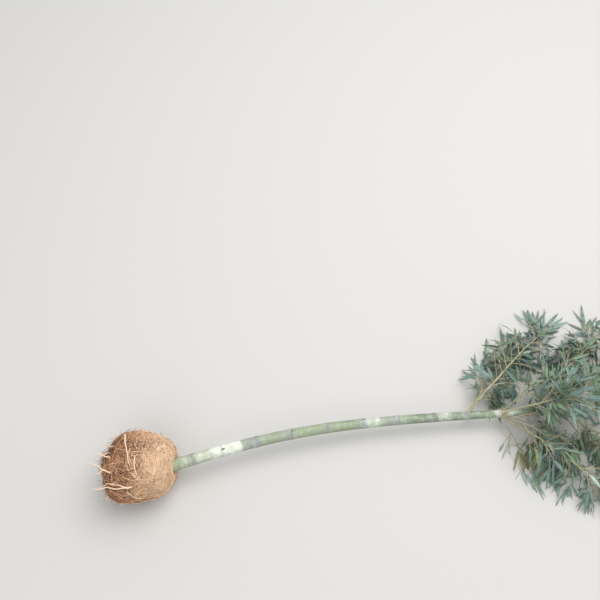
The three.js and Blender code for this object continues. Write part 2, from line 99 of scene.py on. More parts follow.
# The culm's darker, greyer green: partly its own tone and partly painted shade on its underside and its
# shaded stretch.
CULM_SHADE_GREEN = (106, 123, 99)
CULM_BLOOM = (227, 230, 216)
CULM_SCAR = (136, 128, 128)
CULM_LILAC = (149, 149, 151)
CULM_SCUFF = (184, 178, 152)


def unit(vectors):
    """Vectors divided by their own lengths."""
    return vectors / np.linalg.norm(vectors, axis=-1, keepdims=True)


def culm_line():
    """The culm's plan line: equal steps whose heading turns from first to last along a bell curve."""
    at = np.arange(0, CULM_LENGTH, CULM_STEP)
    turned = np.exp(-(((at + CULM_STEP / 2) / CULM_TURN_LENGTH) ** 2))
    heading = CULM_LAST_HEADING + (CULM_FIRST_HEADING - CULM_LAST_HEADING) * turned
    foot = BALL_LENGTH / 2 * np.array([np.cos(BALL_YAW), np.sin(BALL_YAW)]) + [0, CULM_FOOT_OFFSET]
    steps = CULM_STEP * np.stack([np.cos(heading), np.sin(heading)], -1)
    return np.concatenate([[foot], foot + np.cumsum(steps, axis=0)])


CULM_LINE = culm_line()


def culm_point(s):
    """The culm's centre at station s: straight between the steps of its plan line, at a height that comes
    down from the foot's to the tip's as a power of the length that is left."""
    s = np.asarray(s, float)
    i = np.clip(np.floor(s / CULM_STEP).astype(int), 0, len(CULM_LINE) - 2)
    share = (s / CULM_STEP - i)[..., None]
    plan = CULM_LINE[i] + (CULM_LINE[i + 1] - CULM_LINE[i]) * share
    left = np.clip(1 - s / CULM_LENGTH, 0, None)
    height = CULM_TIP_HEIGHT + (CULM_FOOT_HEIGHT - CULM_TIP_HEIGHT) * left ** CULM_DROP_POWER
    return np.concatenate([plan, height[..., None]], -1)


def culm_frame(s):
    """Unit vectors at station s: along the culm, level to its left, and up from it."""
    along = unit(culm_point(np.asarray(s) + 1.0) - culm_point(np.asarray(s) - 1.0))
    left = unit(np.cross([0, 0, 1], along))
    return along, left, np.cross(along, left)


def out_of_culm(s, roll):
    """The unit vector out of the culm at station s and a roll: 0 is to its left, a quarter turn is up."""
    _, left, up = culm_frame(s)
    return left * np.cos(roll)[..., None] + up * np.sin(roll)[..., None]


def culm_radius(s):
    """A slow taper that quickens towards the tip, as a power of the station, and a flare that dies away."""
    share = np.clip(s / CULM_LENGTH, 0, 1)
    taper = CULM_TIP_RADIUS + (CULM_FOOT_RADIUS - CULM_TIP_RADIUS) * (1 - share ** CULM_TAPER_POWER)
    return taper + CULM_FLARE * np.exp(-np.clip(s, 0, None) / CULM_FLARE_LENGTH)


def node_stations():
    """Stations of the joints: a bell curve of the joint's number gives each internode's length."""
    stations = [FIRST_NODE]
    while True:
        i = len(stations) - 1
        foot = 1 - FOOT_INTERNODE_CUT * np.exp(-FOOT_INTERNODE_FADE * i)
        bell = np.exp(-(((i - LONGEST_INTERNODE_INDEX) / INTERNODE_SPREAD) ** 2))
        following = stations[-1] + LONGEST_INTERNODE * foot * bell
        if following >= CULM_LENGTH - LAST_NODE_MARGIN:
            return np.array(stations)
        stations.append(following)


NODES = node_stations()


def lumps(points, size, seed, cells=32):
    """Smooth random lumps from -1 to 1: random heights at the corners of a grid of cubes of this size,
    blended across a cube by the smooth step of the place in it."""
    cell = points / size
    corner = np.floor(cell).astype(int)
    share = cell - corner
    share = share * share * (3 - 2 * share)
    heights = np.random.default_rng(seed).uniform(-1, 1, (cells, cells, cells))
    total = np.zeros(points.shape[:-1])
    for turn in range(8):
        step = np.array([turn & 1, (turn >> 1) & 1, turn >> 2])
        at = (corner + step) % cells
        weight = np.prod(np.where(step, share, 1 - share), axis=-1)
        total += weight * heights[at[..., 0], at[..., 1], at[..., 2]]
    return total


def near(s, station, width):
    """A bell curve of the distance from a station."""
    return np.exp(-(((s - station) / width) ** 2))


def ramp(value, start, length):
    """0 up to a start, 1 from a length further on, and even between."""
    return np.clip((value - start) / length, 0, 1)


def band(s, start, fade_in, end, fade_out):
    """1 between a start and an end, with straight fades just inside them."""
    return ramp(s, start, fade_in) * ramp(-s, -end, fade_out)


def tube_faces(count, rings, sides):
    """Four-sided faces between neighbouring rings of many tubes, and a flat face over both ends of each."""
    tube = np.arange(count)[:, None, None] * rings * sides
    ring = np.arange(rings - 1)[None, :, None] * sides
    side = np.arange(sides)
    a = tube + ring + side
    b = tube + ring + (side + 1) % sides
    walls = np.stack([a, b, b + sides, a + sides], -1).reshape(-1, 4)
    starts = np.arange(count)[:, None] * rings * sides
    ends = np.concatenate([starts + side[::-1], starts + (rings - 1) * sides + side])
    return walls, ends


def new_piece(name, points, *faces, smooth=True):
    """A mesh object at the origin, from an array of points in millimetres and arrays of faces."""
    mesh = bpy.data.meshes.new(name)
    points = points.reshape(-1, 3)
    mesh.vertices.add(len(points))
    mesh.vertices.foreach_set("co", (points * MM).astype(np.float32).ravel())
    sizes = np.concatenate([np.full(len(f), f.shape[1]) for f in faces])
    corners = np.concatenate([f.ravel() for f in faces])
    mesh.loops.add(len(corners))
    mesh.loops.foreach_set("vertex_index", corners.astype(np.int32))
    mesh.polygons.add(len(sizes))
    mesh.polygons.foreach_set("loop_start", (np.cumsum(sizes) - sizes).astype(np.int32))
    mesh.polygons.foreach_set("use_smooth", np.full(len(sizes), smooth))
    mesh.update(calc_edges=True)
    made = bpy.data.objects.new(name, mesh)
    bpy.context.scene.collection.objects.link(made)
    return made


def new_bars(name, *batches):
    """A piece from batches of bars that may differ in their counts of rings and sides."""
    faces = []
    offset = 0
    for batch in batches:
        faces += [part + offset for part in tube_faces(*batch.shape[:3])]
        offset += batch[..., 0].size
    return new_piece(name, np.concatenate([batch.reshape(-1, 3) for batch in batches]), *faces)


def mark(piece, name, values, kind="FLOAT"):
    """Keeps one number, or one vector, for each point of a piece, for its material to read."""
    attribute = piece.data.attributes.new(name, kind, "POINT")
    attribute.data.foreach_set("value" if kind == "FLOAT" else "vector", values.astype(np.float32).ravel())


def colour(red, green, blue):
    """A colour given from 0 to 255 as it looks on a screen, as the linear light that the shaders use."""
    share = np.array([red, green, blue]) / 255
    linear = np.where(share <= 0.04045, share / 12.92, ((share + 0.055) / 1.055) ** 2.4)
    return (*linear, 1.0)


def add_node(tree, kind, inputs=(), **settings):
    """Adds a shader node. Its inputs go by name or number, each a plain value or another node's output."""
    node = tree.nodes.new(kind)
    for name, value in settings.items():
        setattr(node, name, value)
    for key, value in dict(inputs).items():
        if isinstance(value, bpy.types.NodeSocket):
            tree.links.new(value, node.inputs[key])
        else:
            node.inputs[key].default_value = value
    return node


def blend_colour(tree, share, first, second):
    """The colour between two others by a share from 0 to 1."""
    return add_node(tree, "ShaderNodeMix", {0: share, 6: first, 7: second}, data_type="RGBA").outputs[2]


def scaled(tree, value, low, high, to_low=0.0, to_high=1.0):
    """A value's range carried to another one and held inside it."""
    names = ["Value", "From Min", "From Max", "To Min", "To Max"]
    return add_node(tree, "ShaderNodeMapRange", zip(names, [value, low, high, to_low, to_high])).outputs[0]


def marked(tree, name, output="Fac"):
    """What a piece keeps for each of its points under this name."""
    return add_node(tree, "ShaderNodeAttribute", attribute_name=name).outputs[output]


def covered(tree, tint, name, low, high, most, cover):
    """A tint covered by another colour where the piece keeps a high value under a name, up to the most."""
    return blend_colour(tree, scaled(tree, marked(tree, name), low, high, 0, most), tint, colour(*cover))


def mottle_group():
    """Shared effect: soft patches with finer specks in them, as a mask from 0 to 1 and as a height."""
    tree = bpy.data.node_groups.new("natural_mottle", "ShaderNodeTree")
    for name, kind in [("Vector", "Vector"), ("Patches", "Float"), ("Specks", "Float")]:
        tree.interface.new_socket(name, in_out="INPUT", socket_type=f"NodeSocket{kind}")
    for name in ["Mask", "Height"]:
        tree.interface.new_socket(name, in_out="OUTPUT", socket_type="NodeSocketFloat")
    given = tree.nodes.new("NodeGroupInput").outputs
    broad = add_node(tree, "ShaderNodeTexNoise", {"Vector": given[0], "Scale": given[1], "Detail": 3.0})
    fine = add_node(tree, "ShaderNodeTexNoise", {"Vector": given[0], "Scale": given[2], "Detail": 2.0})
    both = add_node(tree, "ShaderNodeMath", {0: broad.outputs[0], 1: fine.outputs[0]}, operation="ADD")
    mask = scaled(tree, both.outputs[0], 0.72, 1.28)
    made = tree.nodes.new("NodeGroupOutput")
    tree.links.new(mask, made.inputs[0])
    tree.links.new(fine.outputs[0], made.inputs[1])
    return tree


MOTTLE = mottle_group()


def mottle(tree, patches, specks, kept=None):
    """Places the shared mottle in a material, on Object coordinates or on a vector that the piece keeps."""
    place = marked(tree, kept, "Vector") if kept else add_node(tree, "ShaderNodeTexCoord").outputs["Object"]
    return add_node(tree, "ShaderNodeGroup", {"Vector": place, "Patches": patches, "Specks": specks},
                    node_tree=MOTTLE)


def new_material(name, roughness):
    """A material with a Principled shader of this roughness, and its tree and shader."""
    material = bpy.data.materials.new(name)
    material.use_nodes = True
    shader = material.node_tree.nodes["Principled BSDF"]
    shader.inputs["Roughness"].default_value = roughness
    shader.inputs["Specular IOR Level"].default_value = 0.35
    return material, material.node_tree, shader


def add_relief(tree, shader, height, strength, depth):
    """Bumps a shader's surface by a height, to a depth in metres."""
    bump = add_node(tree, "ShaderNodeBump", {"Height": height, "Strength": strength, "Distance": depth})
    tree.links.new(bump.outputs[0], shader.inputs["Normal"])


def culm_surface(s, roll):
    """The culm's skin at station s and roll. At each joint a sharp ridge is the sheath's scar, a groove
    follows, and a rounder ridge lies above it, all bell curves. Over a branching joint the side that bore
    the branch is hollowed by a band along the culm times a power of the cosine round it."""
    relief = np.ones(np.broadcast(s, roll).shape)
    for i, station in enumerate(NODES):
        for above, rise, width in JOINT_RELIEF:
            relief += rise * near(s, station + above, width)
        if i >= FIRST_CROWN_NODE:
            facing = np.clip(np.cos(roll - BRANCH_HOLLOW_ROLLS[i % 2]), 0, 1) ** BRANCH_HOLLOW_POWER
            relief -= BRANCH_HOLLOW_DEPTH * band(s - station, *BRANCH_HOLLOW) * facing
    around = out_of_culm(s, roll)
    centre = culm_point(s)
    uneven = 1 + UNEVENNESS * lumps(centre + around * UNEVEN_RADIUS, size=26, seed=5)
    return centre + around * (culm_radius(s) * relief * uneven)[..., None]


stations = np.concatenate([[-SOCKET_DEPTH], np.arange(0, CULM_LENGTH + 1, RING_SPACING),
                           (NODES[:, None] + NEAR_JOINT).ravel()])
stations = np.unique(np.round(stations[stations <= CULM_LENGTH], 2))
rolls = np.arange(CULM_SIDES) * 2 * np.pi / CULM_SIDES
s_grid, roll_grid = np.meshgrid(stations, rolls, indexing="ij")
skin = culm_surface(s_grid, roll_grid)
culm = new_bars("culm_cane", skin[None])

# The bloom's patches have ragged ends. It is painted thicker on the side towards the light, as a painted
# highlight, and lies in blotches.
blotch = lumps(skin, size=17, seed=21) + 0.6 * lumps(skin, size=7, seed=22)
bloom = BLOOM_ALL_OVER + 0.10 * lumps(skin, size=60, seed=23)
ragged = s_grid + 3 * lumps(skin, size=9, seed=25)
for *patch, thickness in BLOOM_PATCHES:
    bloom = bloom + thickness * band(ragged, *patch)
node_column = NODES[:, None, None]
to_joint = np.min(np.where(node_column > s_grid, node_column - s_grid, CULM_LENGTH), axis=0)
from_joint = np.min(np.where(node_column <= s_grid, s_grid - node_column, CULM_LENGTH), axis=0)
bloom = bloom + BLOOM_UNDER_JOINT * np.exp(-to_joint / BLOOM_UNDER_JOINT_LENGTH)
# Painted highlight: the bloom is whiter on the side that faces the light.
facing = 0.85 + 0.27 * np.cos(roll_grid - 0.8)
bloom = np.clip(bloom * facing * (1 + 0.36 * blotch), 0, 1)
scar = near(np.minimum(to_joint, from_joint), 0, SCAR_WIDTH) * (0.7 + 0.3 * blotch)
lilac = near(np.minimum(to_joint, from_joint * 1.3), 0, LILAC_WIDTH) * (0.8 + 0.25 * blotch)
for station, width, strength in GREY_PATCHES:
    lilac = lilac + strength * near(s_grid, station, width) * ramp(s_grid, GREY_START, GREY_FADE)
# Painted light and shade: the culm's green is lighter and yellower on its upper side and darker and greyer
# underneath, partly the sun-yellowed side and partly painted shade. Past SHADED_START it is painted darker
# as the shadow of the culms over it, and random lumps vary it too.
sun_tint_and_painted_light = 0.5 + 0.4 * lumps(skin * [0.25, 1, 1], size=24, seed=24) + 0.5 * np.sin(roll_grid - 0.3)
sun_tint_and_painted_light = np.clip(sun_tint_and_painted_light - 0.5 * ramp(s_grid, SHADED_START, SHADED_FADE), 0, 1)
for name, values in [("bloom", bloom), ("scar", scar), ("lilac", lilac), ("sun_tint_and_painted_light", sun_tint_and_painted_light)]:
    mark(culm, name, values)
grain = np.stack([np.cos(roll_grid) * 12, np.sin(roll_grid) * 12, s_grid * 0.025], -1)
mark(culm, "grain", grain, "FLOAT_VECTOR")

culm_skin, tree, shader = new_material("culm_skin", 0.5)
fibres = add_node(tree, "ShaderNodeTexNoise", {"Vector": marked(tree, "grain", "Vector"), "Scale": 0.9,
                                               "Detail": 6.0}).outputs[0]
tint = blend_colour(tree, marked(tree, "sun_tint_and_painted_light"), colour(*CULM_SHADE_GREEN), colour(*CULM_GREEN))
tint = blend_colour(tree, scaled(tree, fibres, 0.5, 0.75, 0.0, 0.4), tint, colour(*CULM_SCUFF))
tint = covered(tree, tint, "lilac", 0, 1, 0.88, CULM_LILAC)
blotches = scaled(tree, mottle(tree, 75.0, 420.0).outputs["Mask"], 0, 1, 0, 0.6)
wax = add_node(tree, "ShaderNodeMath", {0: marked(tree, "bloom"), 1: blotches}, operation="ADD").outputs[0]
wax_share = scaled(tree, wax, 0.35, 1.3, 0.0, 0.98)
tint = blend_colour(tree, wax_share, tint, colour(*CULM_BLOOM))
tint = covered(tree, tint, "scar", 0.25, 0.9, 0.6, CULM_SCAR)
tree.links.new(tint, shader.inputs["Base Color"])
tree.links.new(scaled(tree, wax_share, 0, 1, 0.42, 0.8), shader.inputs["Roughness"])
add_relief(tree, shader, fibres, 0.18, 0.0006)
culm.data.materials.append(culm_skin)
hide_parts("culm")
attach(culm, "root")

# Root ball: a block of matted roots and coir, moulded round and lying on its side. Its body is crumbly, with
# hollows that are deeper at its back, the end away from the culm.
BALL_BACK_RADIUS = 82
BALL_FACE_RADIUS = 66
BALL_SETTLE = 5
BACK_SQUARENESS = 3.2
FACE_SQUARENESS = 6
BALL_LUMP = 2.6
# Worn places: 1 for the face or -1 for the back, the angle round the ball, the depth, and where wear starts.
WORN = [(1, 205, 18, 0.25), (-1, 40, 19, 0.3), (1, 20, 7, 0.3)]
BALL_RINGS = 150
BALL_SIDES = 240
BALL_MARGIN = 3
BODY_SINK = 2
PIT_DEPTH = 2.5
BACK_PIT_DEPTH = 9
COIR = (198, 148, 114)
# Dark coir: the body's darker tone, and also painted shade in its hollows.
COIR_DARK = (114, 83, 58)
# Pale coir of the face: partly bleached and partly painted light.
COIR_PALE = (255, 206, 164)


def ball_cone(place):
    """The ball's radius before its ends are rounded: it narrows evenly from the back to the face."""
    return (BALL_BACK_RADIUS + BALL_FACE_RADIUS - place * (BALL_BACK_RADIUS - BALL_FACE_RADIUS)) / 2


def ball_outline():
    """The ball's outline from the middle of its back, over its side, to the middle of its face: a
    superellipse that is squarer at the face. Gives the length along it, the place from -1 at the back to 1
    at the face, the radius, and the outward direction's two shares, ahead and away from the axis."""
    turn = np.linspace(0, np.pi, 4001)
    squareness = np.where(np.cos(turn) > 0, BACK_SQUARENESS, FACE_SQUARENESS)
    place = -np.sign(np.cos(turn)) * np.abs(np.cos(turn)) ** (2 / squareness)
    radius = ball_cone(place) * np.abs(np.sin(turn)) ** (2 / squareness)
    ahead, out = np.gradient(place * BALL_LENGTH / 2), np.gradient(radius)
    step = np.hypot(np.diff(place * BALL_LENGTH / 2), np.diff(radius))
    size = np.hypot(ahead, out)
    return np.concatenate([[0], np.cumsum(step)]), place, radius, -out / size, ahead / size


OUTLINE = ball_outline()
OUTLINE_LENGTH = OUTLINE[0][-1]


def ball_point(reach, angle, lift):
    """A point that stands off the ball by a lift. Reach is the length along the outline, and the angle goes
    round the axis. Long waves lump the side. Worn corners take off a smooth step of the place past the
    wear's start, times a squared cosine round the ball."""
    place, radius, ahead, out = (np.interp(reach, OUTLINE[0], column) for column in OUTLINE[1:])
    waves = np.sin(3 * angle + 4 * place) + 0.7 * np.sin(5 * angle - 6 * place + 1.3)
    waves = waves + 0.6 * np.cos(2 * angle + 9 * place)
    edge = np.minimum(radius / ball_cone(place) * 1.5, 1)
    radius = radius + BALL_LUMP * waves * edge * (0.6 + 0.4 * np.sin(angle)) + lift * out
    for end, worn_angle, depth, start in WORN:
        share = ramp(place * end, start, 1 - start)
        facing = np.clip(np.cos(angle - np.radians(worn_angle)), 0, 1) ** 2
        radius = radius - depth * share ** 2 * (3 - 2 * share) * facing * edge
    along = place * BALL_LENGTH / 2 + lift * ahead
    across = radius * np.cos(angle)
    height = ball_cone(place) - BALL_SETTLE + radius * np.sin(angle)
    return np.stack([along * np.cos(BALL_YAW) - across * np.sin(BALL_YAW),
                     along * np.sin(BALL_YAW) + across * np.cos(BALL_YAW), height], -1)


def on_ground(points, lowest):
    """The same points, with what is lower than a height raised to it."""
    raised = points.copy()
    raised[..., 2] = np.maximum(raised[..., 2], lowest)
    return raised


def pit_depth(points):
    """Where the ball has crumbled away, from 0 to 1: lumps of two sizes above a level."""
    return np.clip(lumps(points, size=19, seed=31) + 0.5 * lumps(points, size=8, seed=32) - 0.15, 0, 1)


def bleached_and_lit_share(place, height):
    """How far the ball is paler, from 0 to 1: towards its face, and not low down. The face is partly
    bleached and partly painted lighter as painted light.
    """
    return ramp(place, 0.1, 0.35) * ramp(height, 38, 45)


def mottled_material(name, roughness, dark, light, patches, specks, covers=(), relief=None, kept=None):
    """A material whose tint drifts from a dark to a light one by the shared mottle, and is then covered
    where the piece keeps a value. Relief is the strength and depth of the mottle's height."""
    material, tree, shader = new_material(name, roughness)
    pattern = mottle(tree, patches, specks, kept)
    tint = blend_colour(tree, pattern.outputs["Mask"], colour(*dark), colour(*light))
    for cover in covers:
        tint = covered(tree, tint, *cover)
    tree.links.new(tint, shader.inputs["Base Color"])
    if relief:
        add_relief(tree, shader, pattern.outputs["Height"], *relief)
    return material


reach_grid, angle_grid = np.meshgrid(np.linspace(BALL_MARGIN, OUTLINE_LENGTH - BALL_MARGIN, BALL_RINGS),
                                     np.arange(BALL_SIDES) * 2 * np.pi / BALL_SIDES, indexing="ij")
smooth_ball = ball_point(reach_grid, angle_grid, 0)
place_grid = np.interp(reach_grid, OUTLINE[0], OUTLINE[1])
raggedness = np.clip(0.25 - place_grid, 0, 1)
crumbs = 1.1 * lumps(smooth_ball, size=11, seed=33) + 0.9 * np.abs(lumps(smooth_ball, size=5, seed=34))
crumbs = crumbs + 0.5 * lumps(smooth_ball, size=2.6, seed=35)
sunk = crumbs - BODY_SINK - pit_depth(smooth_ball) * (PIT_DEPTH + BACK_PIT_DEPTH * raggedness)
body = new_bars("root_ball_body", on_ground(ball_point(reach_grid, angle_grid, sunk), 0)[None])
# Painted shade: the body is painted darker with COIR_DARK by the depth of its hollows.
mark(body, "deep", np.clip(-sunk / BACK_PIT_DEPTH, 0, 1))
# Painted light: the face is painted paler with COIR_PALE where the light falls on it, besides its bleaching.
mark(body, "face", bleached_and_lit_share(place_grid, smooth_ball[..., 2]))
body.data.materials.append(mottled_material(
    "coir_crumb", 0.95, COIR_DARK, COIR, 60.0, 420.0, relief=(0.7, 0.0015),
    covers=[("face", 0, 1, 0.9, COIR_PALE), ("deep", 0.25, 0.9, 0.85, COIR_DARK)]))
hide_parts("root_ball")
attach(body, "root")

# Fine roots: thousands of hair-thin roots that wander over the ball, tangled into a mat. They are pale and
# tight round the face, and dark, loose and frayed at the back. Each is a thin tapering strand.
ROOT_TONES = {
    "roots_blond": (255, 221, 184),
    "roots_tan": (250, 199, 156),
    "roots_russet": (206, 155, 118),
    "roots_umber": (134, 99, 73),
}
# Two sorts of strands: count, rings, shortest and longest, thinnest and thickest, sides and seed.
FINE_ROOTS = (4800, 9, (26, 66), (0.34, 0.62), 3, 41)
THIN_ROOTS = (1300, 14, (50, 120), (0.65, 1.15), 4, 42)
LENGTH_SEED = 500
# Places on the ball, -1 to 1: past the first more roots circle it, behind the others they leave or fray.
CIRCLING_PLACE = 0.35
LEAVING_PLACE = -0.5
FRAYING_PLACE = -0.55
# Shares of the roots that circle, leave or fray, there and elsewhere, and how far frayed ones stand off.
CIRCLING_SHARES = (0.75, 0.35)
LEAVING_SHARES = (0.5, 0.0)
FRAYING_SHARES = (0.30, 0.07)
FRAY_LIFTS = (3, 11)
CIRCLING_SPREAD = 0.35
LEAVING_SPREAD = 0.4
ROOT_CURL = 0.10
ROOT_TURN = 0.24
ROOT_LIFTS = (-1.2, 1.4)
# Height, number and start of the waves of a root's lift.
ROOT_LIFT_WAVES = [(0.2, 1.2), (2, 9), (0, 6)]
ROOT_JITTER = 0.25
DIVE_DEPTH = 2.0
ROOT_MARGIN = 5
DIVE_SHARE = 0.15
FRAY_START = 0.6
ROOT_TAPER = 0.55
CULM_GAP = 0.4


def bars(paths, radii, sides):
    """Round bars along many paths at once, as rings of points. A bar's first side vector is carried along
    its path and cleaned of the path's direction at every step. A ring point lies off the path by
    side * cosine + across * sine of its angle, times the radius."""
    following = np.concatenate([paths[:, 1:], paths[:, -1:]], 1)
    previous = np.concatenate([paths[:, :1], paths[:, :-1]], 1)
    ahead = unit(following - previous + 1e-9)
    side = np.broadcast_to([0.01, 0.02, 1.0], paths[:, 0].shape)
    sides_along = []
    for i in range(paths.shape[1]):
        side = unit(side - np.sum(side * ahead[:, i], -1, keepdims=True) * ahead[:, i])
        sides_along.append(side)
    side = np.stack(sides_along, 1)
    across = np.cross(ahead, side)
    angle = np.arange(sides) * 2 * np.pi / sides
    ring = side[:, :, None] * np.cos(angle)[:, None] + across[:, :, None] * np.sin(angle)[:, None]
    return paths[:, :, None] + ring * radii[:, :, None, None]


def root_walks(random, step, steps):
    """Paths that wander over the ball. Each starts at a random spot and goes on in equal steps, while its
    heading turns by its own curl and a little at random: 0 is to the face, a quarter turn is round the
    ball. Gives the reach and the angle of each point of each path, and the place where each starts."""
    count = len(step)
    area = np.cumsum(OUTLINE[2] * np.gradient(OUTLINE[0]))
    start = np.interp(random.uniform(0, area[-1], count), area, OUTLINE[0])
    place = np.interp(start, OUTLINE[0], OUTLINE[1])
    circling = random.random(count) < np.where(place > CIRCLING_PLACE, *CIRCLING_SHARES)
    leaving = random.random(count) < np.where(place < LEAVING_PLACE, *LEAVING_SHARES)
    round_it = np.pi / 2 * np.sign(random.random(count) - 0.5) + random.normal(0, CIRCLING_SPREAD, count)
    heading = np.where(circling, round_it, random.uniform(-np.pi, np.pi, count))
    heading = np.where(leaving, np.pi + random.normal(0, LEAVING_SPREAD, count), heading)
    curl = random.normal(0, ROOT_CURL, count)
    turns = curl[:, None] + random.normal(0, ROOT_TURN, (count, steps))
    heading = heading[:, None] + np.cumsum(turns, 1)
    reach = start[:, None] + np.cumsum(step[:, None] * np.cos(heading), 1)
    reach = np.clip(reach, ROOT_MARGIN, OUTLINE_LENGTH - ROOT_MARGIN)
    radius = np.maximum(np.interp(reach, OUTLINE[0], OUTLINE[2]), 10)
    first_angle = random.uniform(0, 2 * np.pi, count)[:, None]
    return reach, first_angle + np.cumsum(step[:, None] * np.sin(heading) / radius, 1), place


def nearest_station(points, tries):
    """The station whose cross-section of the culm holds each point, found by steps along the culm."""
    s = points[..., 0] - CULM_LINE[0][0]
    for _ in range(tries):
        s = s + np.sum((points - culm_point(s)) * culm_frame(s)[0], -1)
    return s


def culm_clearance(points):
    """How far points lie from the culm's skin."""
    s = np.clip(nearest_station(points, tries=2), -SOCKET_DEPTH, CULM_LENGTH)
    return np.linalg.norm(points - culm_point(s), axis=-1) - culm_radius(s)


def ends_share(along, share):
    """1 at both ends of a strand, and 0 once this share of its length lies behind."""
    return np.clip(1 - along / share, 0, 1) + np.clip((along - 1 + share) / share, 0, 1)


def root_strands(count, steps, length, thickness, sides, seed):
    """Strands over the ball. The lift off it waves gently, and both ends dive in, or the last part frays
    out. There are fewer where the back has crumbled away. Gives their ring points and their places."""
    step = np.random.default_rng(seed + LENGTH_SEED).uniform(*length, count) / steps
    random = np.random.default_rng(seed)
    reach, angle, place = root_walks(random, step, steps)
    along = np.linspace(0, 1, steps)
    lift = random.uniform(*ROOT_LIFTS, count)[:, None]
    wave_height, waves, phase = (random.uniform(*limits, count)[:, None] for limits in ROOT_LIFT_WAVES)
    lift = lift + wave_height * np.sin(along * waves + phase)
    fray = random.random(count) < np.where(place < FRAYING_PLACE, *FRAYING_SHARES)
    out = random.uniform(*FRAY_LIFTS, count) * np.where(place < FRAYING_PLACE, 1.3, 0.8)
    frayed = ramp(along, FRAY_START, 1 - FRAY_START) ** 1.4 * out[:, None]
    lift = lift + np.where(fray[:, None], frayed, -DIVE_DEPTH * ends_share(along, DIVE_SHARE))
    points = ball_point(reach, angle, lift)
    points = points + random.normal(0, ROOT_JITTER, points.shape)
    radii = random.uniform(*thickness, count)[:, None] * (1 - ROOT_TAPER * along)
    points = on_ground(points, 1.2 * radii)
    clear = np.min(culm_clearance(points), axis=1) > CULM_GAP
    bare = pit_depth(points[:, steps // 2]) * np.clip(0.3 - place, 0, 0.8) * 4
    clear &= random.random(count) > bare
    return bars(points[clear], radii[clear], sides), place[clear], random


def root_tone(strands, place, random):
    """The tone of each strand, from 0 for blond to 3 for umber: paler on the face, which is partly bleached
    and partly painted light, darker towards the back, and in patches."""
    centre = strands.mean((1, 2))
    # Blond strands gather on the face: partly bleaching and partly painted light.
    bleached_and_lit = bleached_and_lit_share(place, centre[:, 2])
    shade = 1.8 - place - 2.5 * bleached_and_lit + 1.1 * lumps(centre, size=26, seed=36)
    spread = 0.6 + 0.4 * np.clip(-place, 0, 1)
    return np.clip(np.round(shade + random.normal(0, 1, len(place)) * spread), 0, 3).astype(int)


fine, fine_place, random = root_strands(*FINE_ROOTS)
fine_tone = root_tone(fine, fine_place, random)
thin, thin_place, random = root_strands(*THIN_ROOTS)
thin_tone = root_tone(thin, thin_place - 0.1, random)
for tone, (name, shade) in enumerate(ROOT_TONES.items()):
    roots = new_bars(name, fine[fine_tone == tone], thin[thin_tone == tone])
    roots.data.materials.append(mottled_material(name, 0.8, 0.87 * np.array(shade), shade, 45.0, 260.0))
    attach(roots, "root")

# Coarse roots: a few pale roots as thick as a straw, which run over the mat and stick out past its back.
# They taper to a point, wander a little, and some fork.
# Each root: place and angle on the ball where it starts, the same where it ends, radius and bow.
COARSE_ROOTS = [
    [-0.4, 44, -0.07, 105, 1.9, 0],
    [0.03, 84, 0.21, 125, 1.7, -0.07],
    [0, 136, -1.12, 150, 2, 0],
    [0.02, 137, -0.66, 134, 1.6, 0],
    [-0.6, 116, -1.32, 98, 1.8, 0],
    [-0.84, 110, -1.08, 122, 1.4, 0],
    [-0.66, 90, -1.16, 80, 1.6, 0],
    [-0.4, 12, -1.05, -4, 1.7, 0],
    [0.35, -26, -0.5, -8, 1.6, 0],
    [-0.35, 190, -1.05, 204, 1.6, 0],
]
THINNER_ROOTS = [
    [-0.6, 66, -1.05, 50, 1.2, 0],
    [-0.5, 131, -0.98, 148, 1.2, 0],
    [-0.07, 79, 0.34, 74, 0.9, 0.03],
    [-0.09, 86, 0.37, 85, 0.9, -0.02],
    [-0.05, 64, 0.02, 75, 1.0, 0.02],
    [-0.2, 145, 0.33, 166, 1.1, -0.04],
    [0.5, 210, -0.3, 196, 1.2, 0.05],
    [0.2, 4, 0.6, 58, 1.1, 0.05],
    [-0.1, -20, 0.1, 40, 1.2, 0.03],
    [-0.8, 170, -1.03, 186, 1.0, 0],
    [-0.75, 78, -1.0, 96, 1.0, 0],
]
ROOT_LEAVES_AT = -0.72
COARSE_STEPS = 40
COARSE_SIDES = 8
ROOT_WAVE = 0.01
ROOT_WANDER = 0.015
COARSE_TAPER = 0.5
PALE_ROOT = (255, 230, 200)
PALE_ROOT_SHADE = (232, 192, 156)


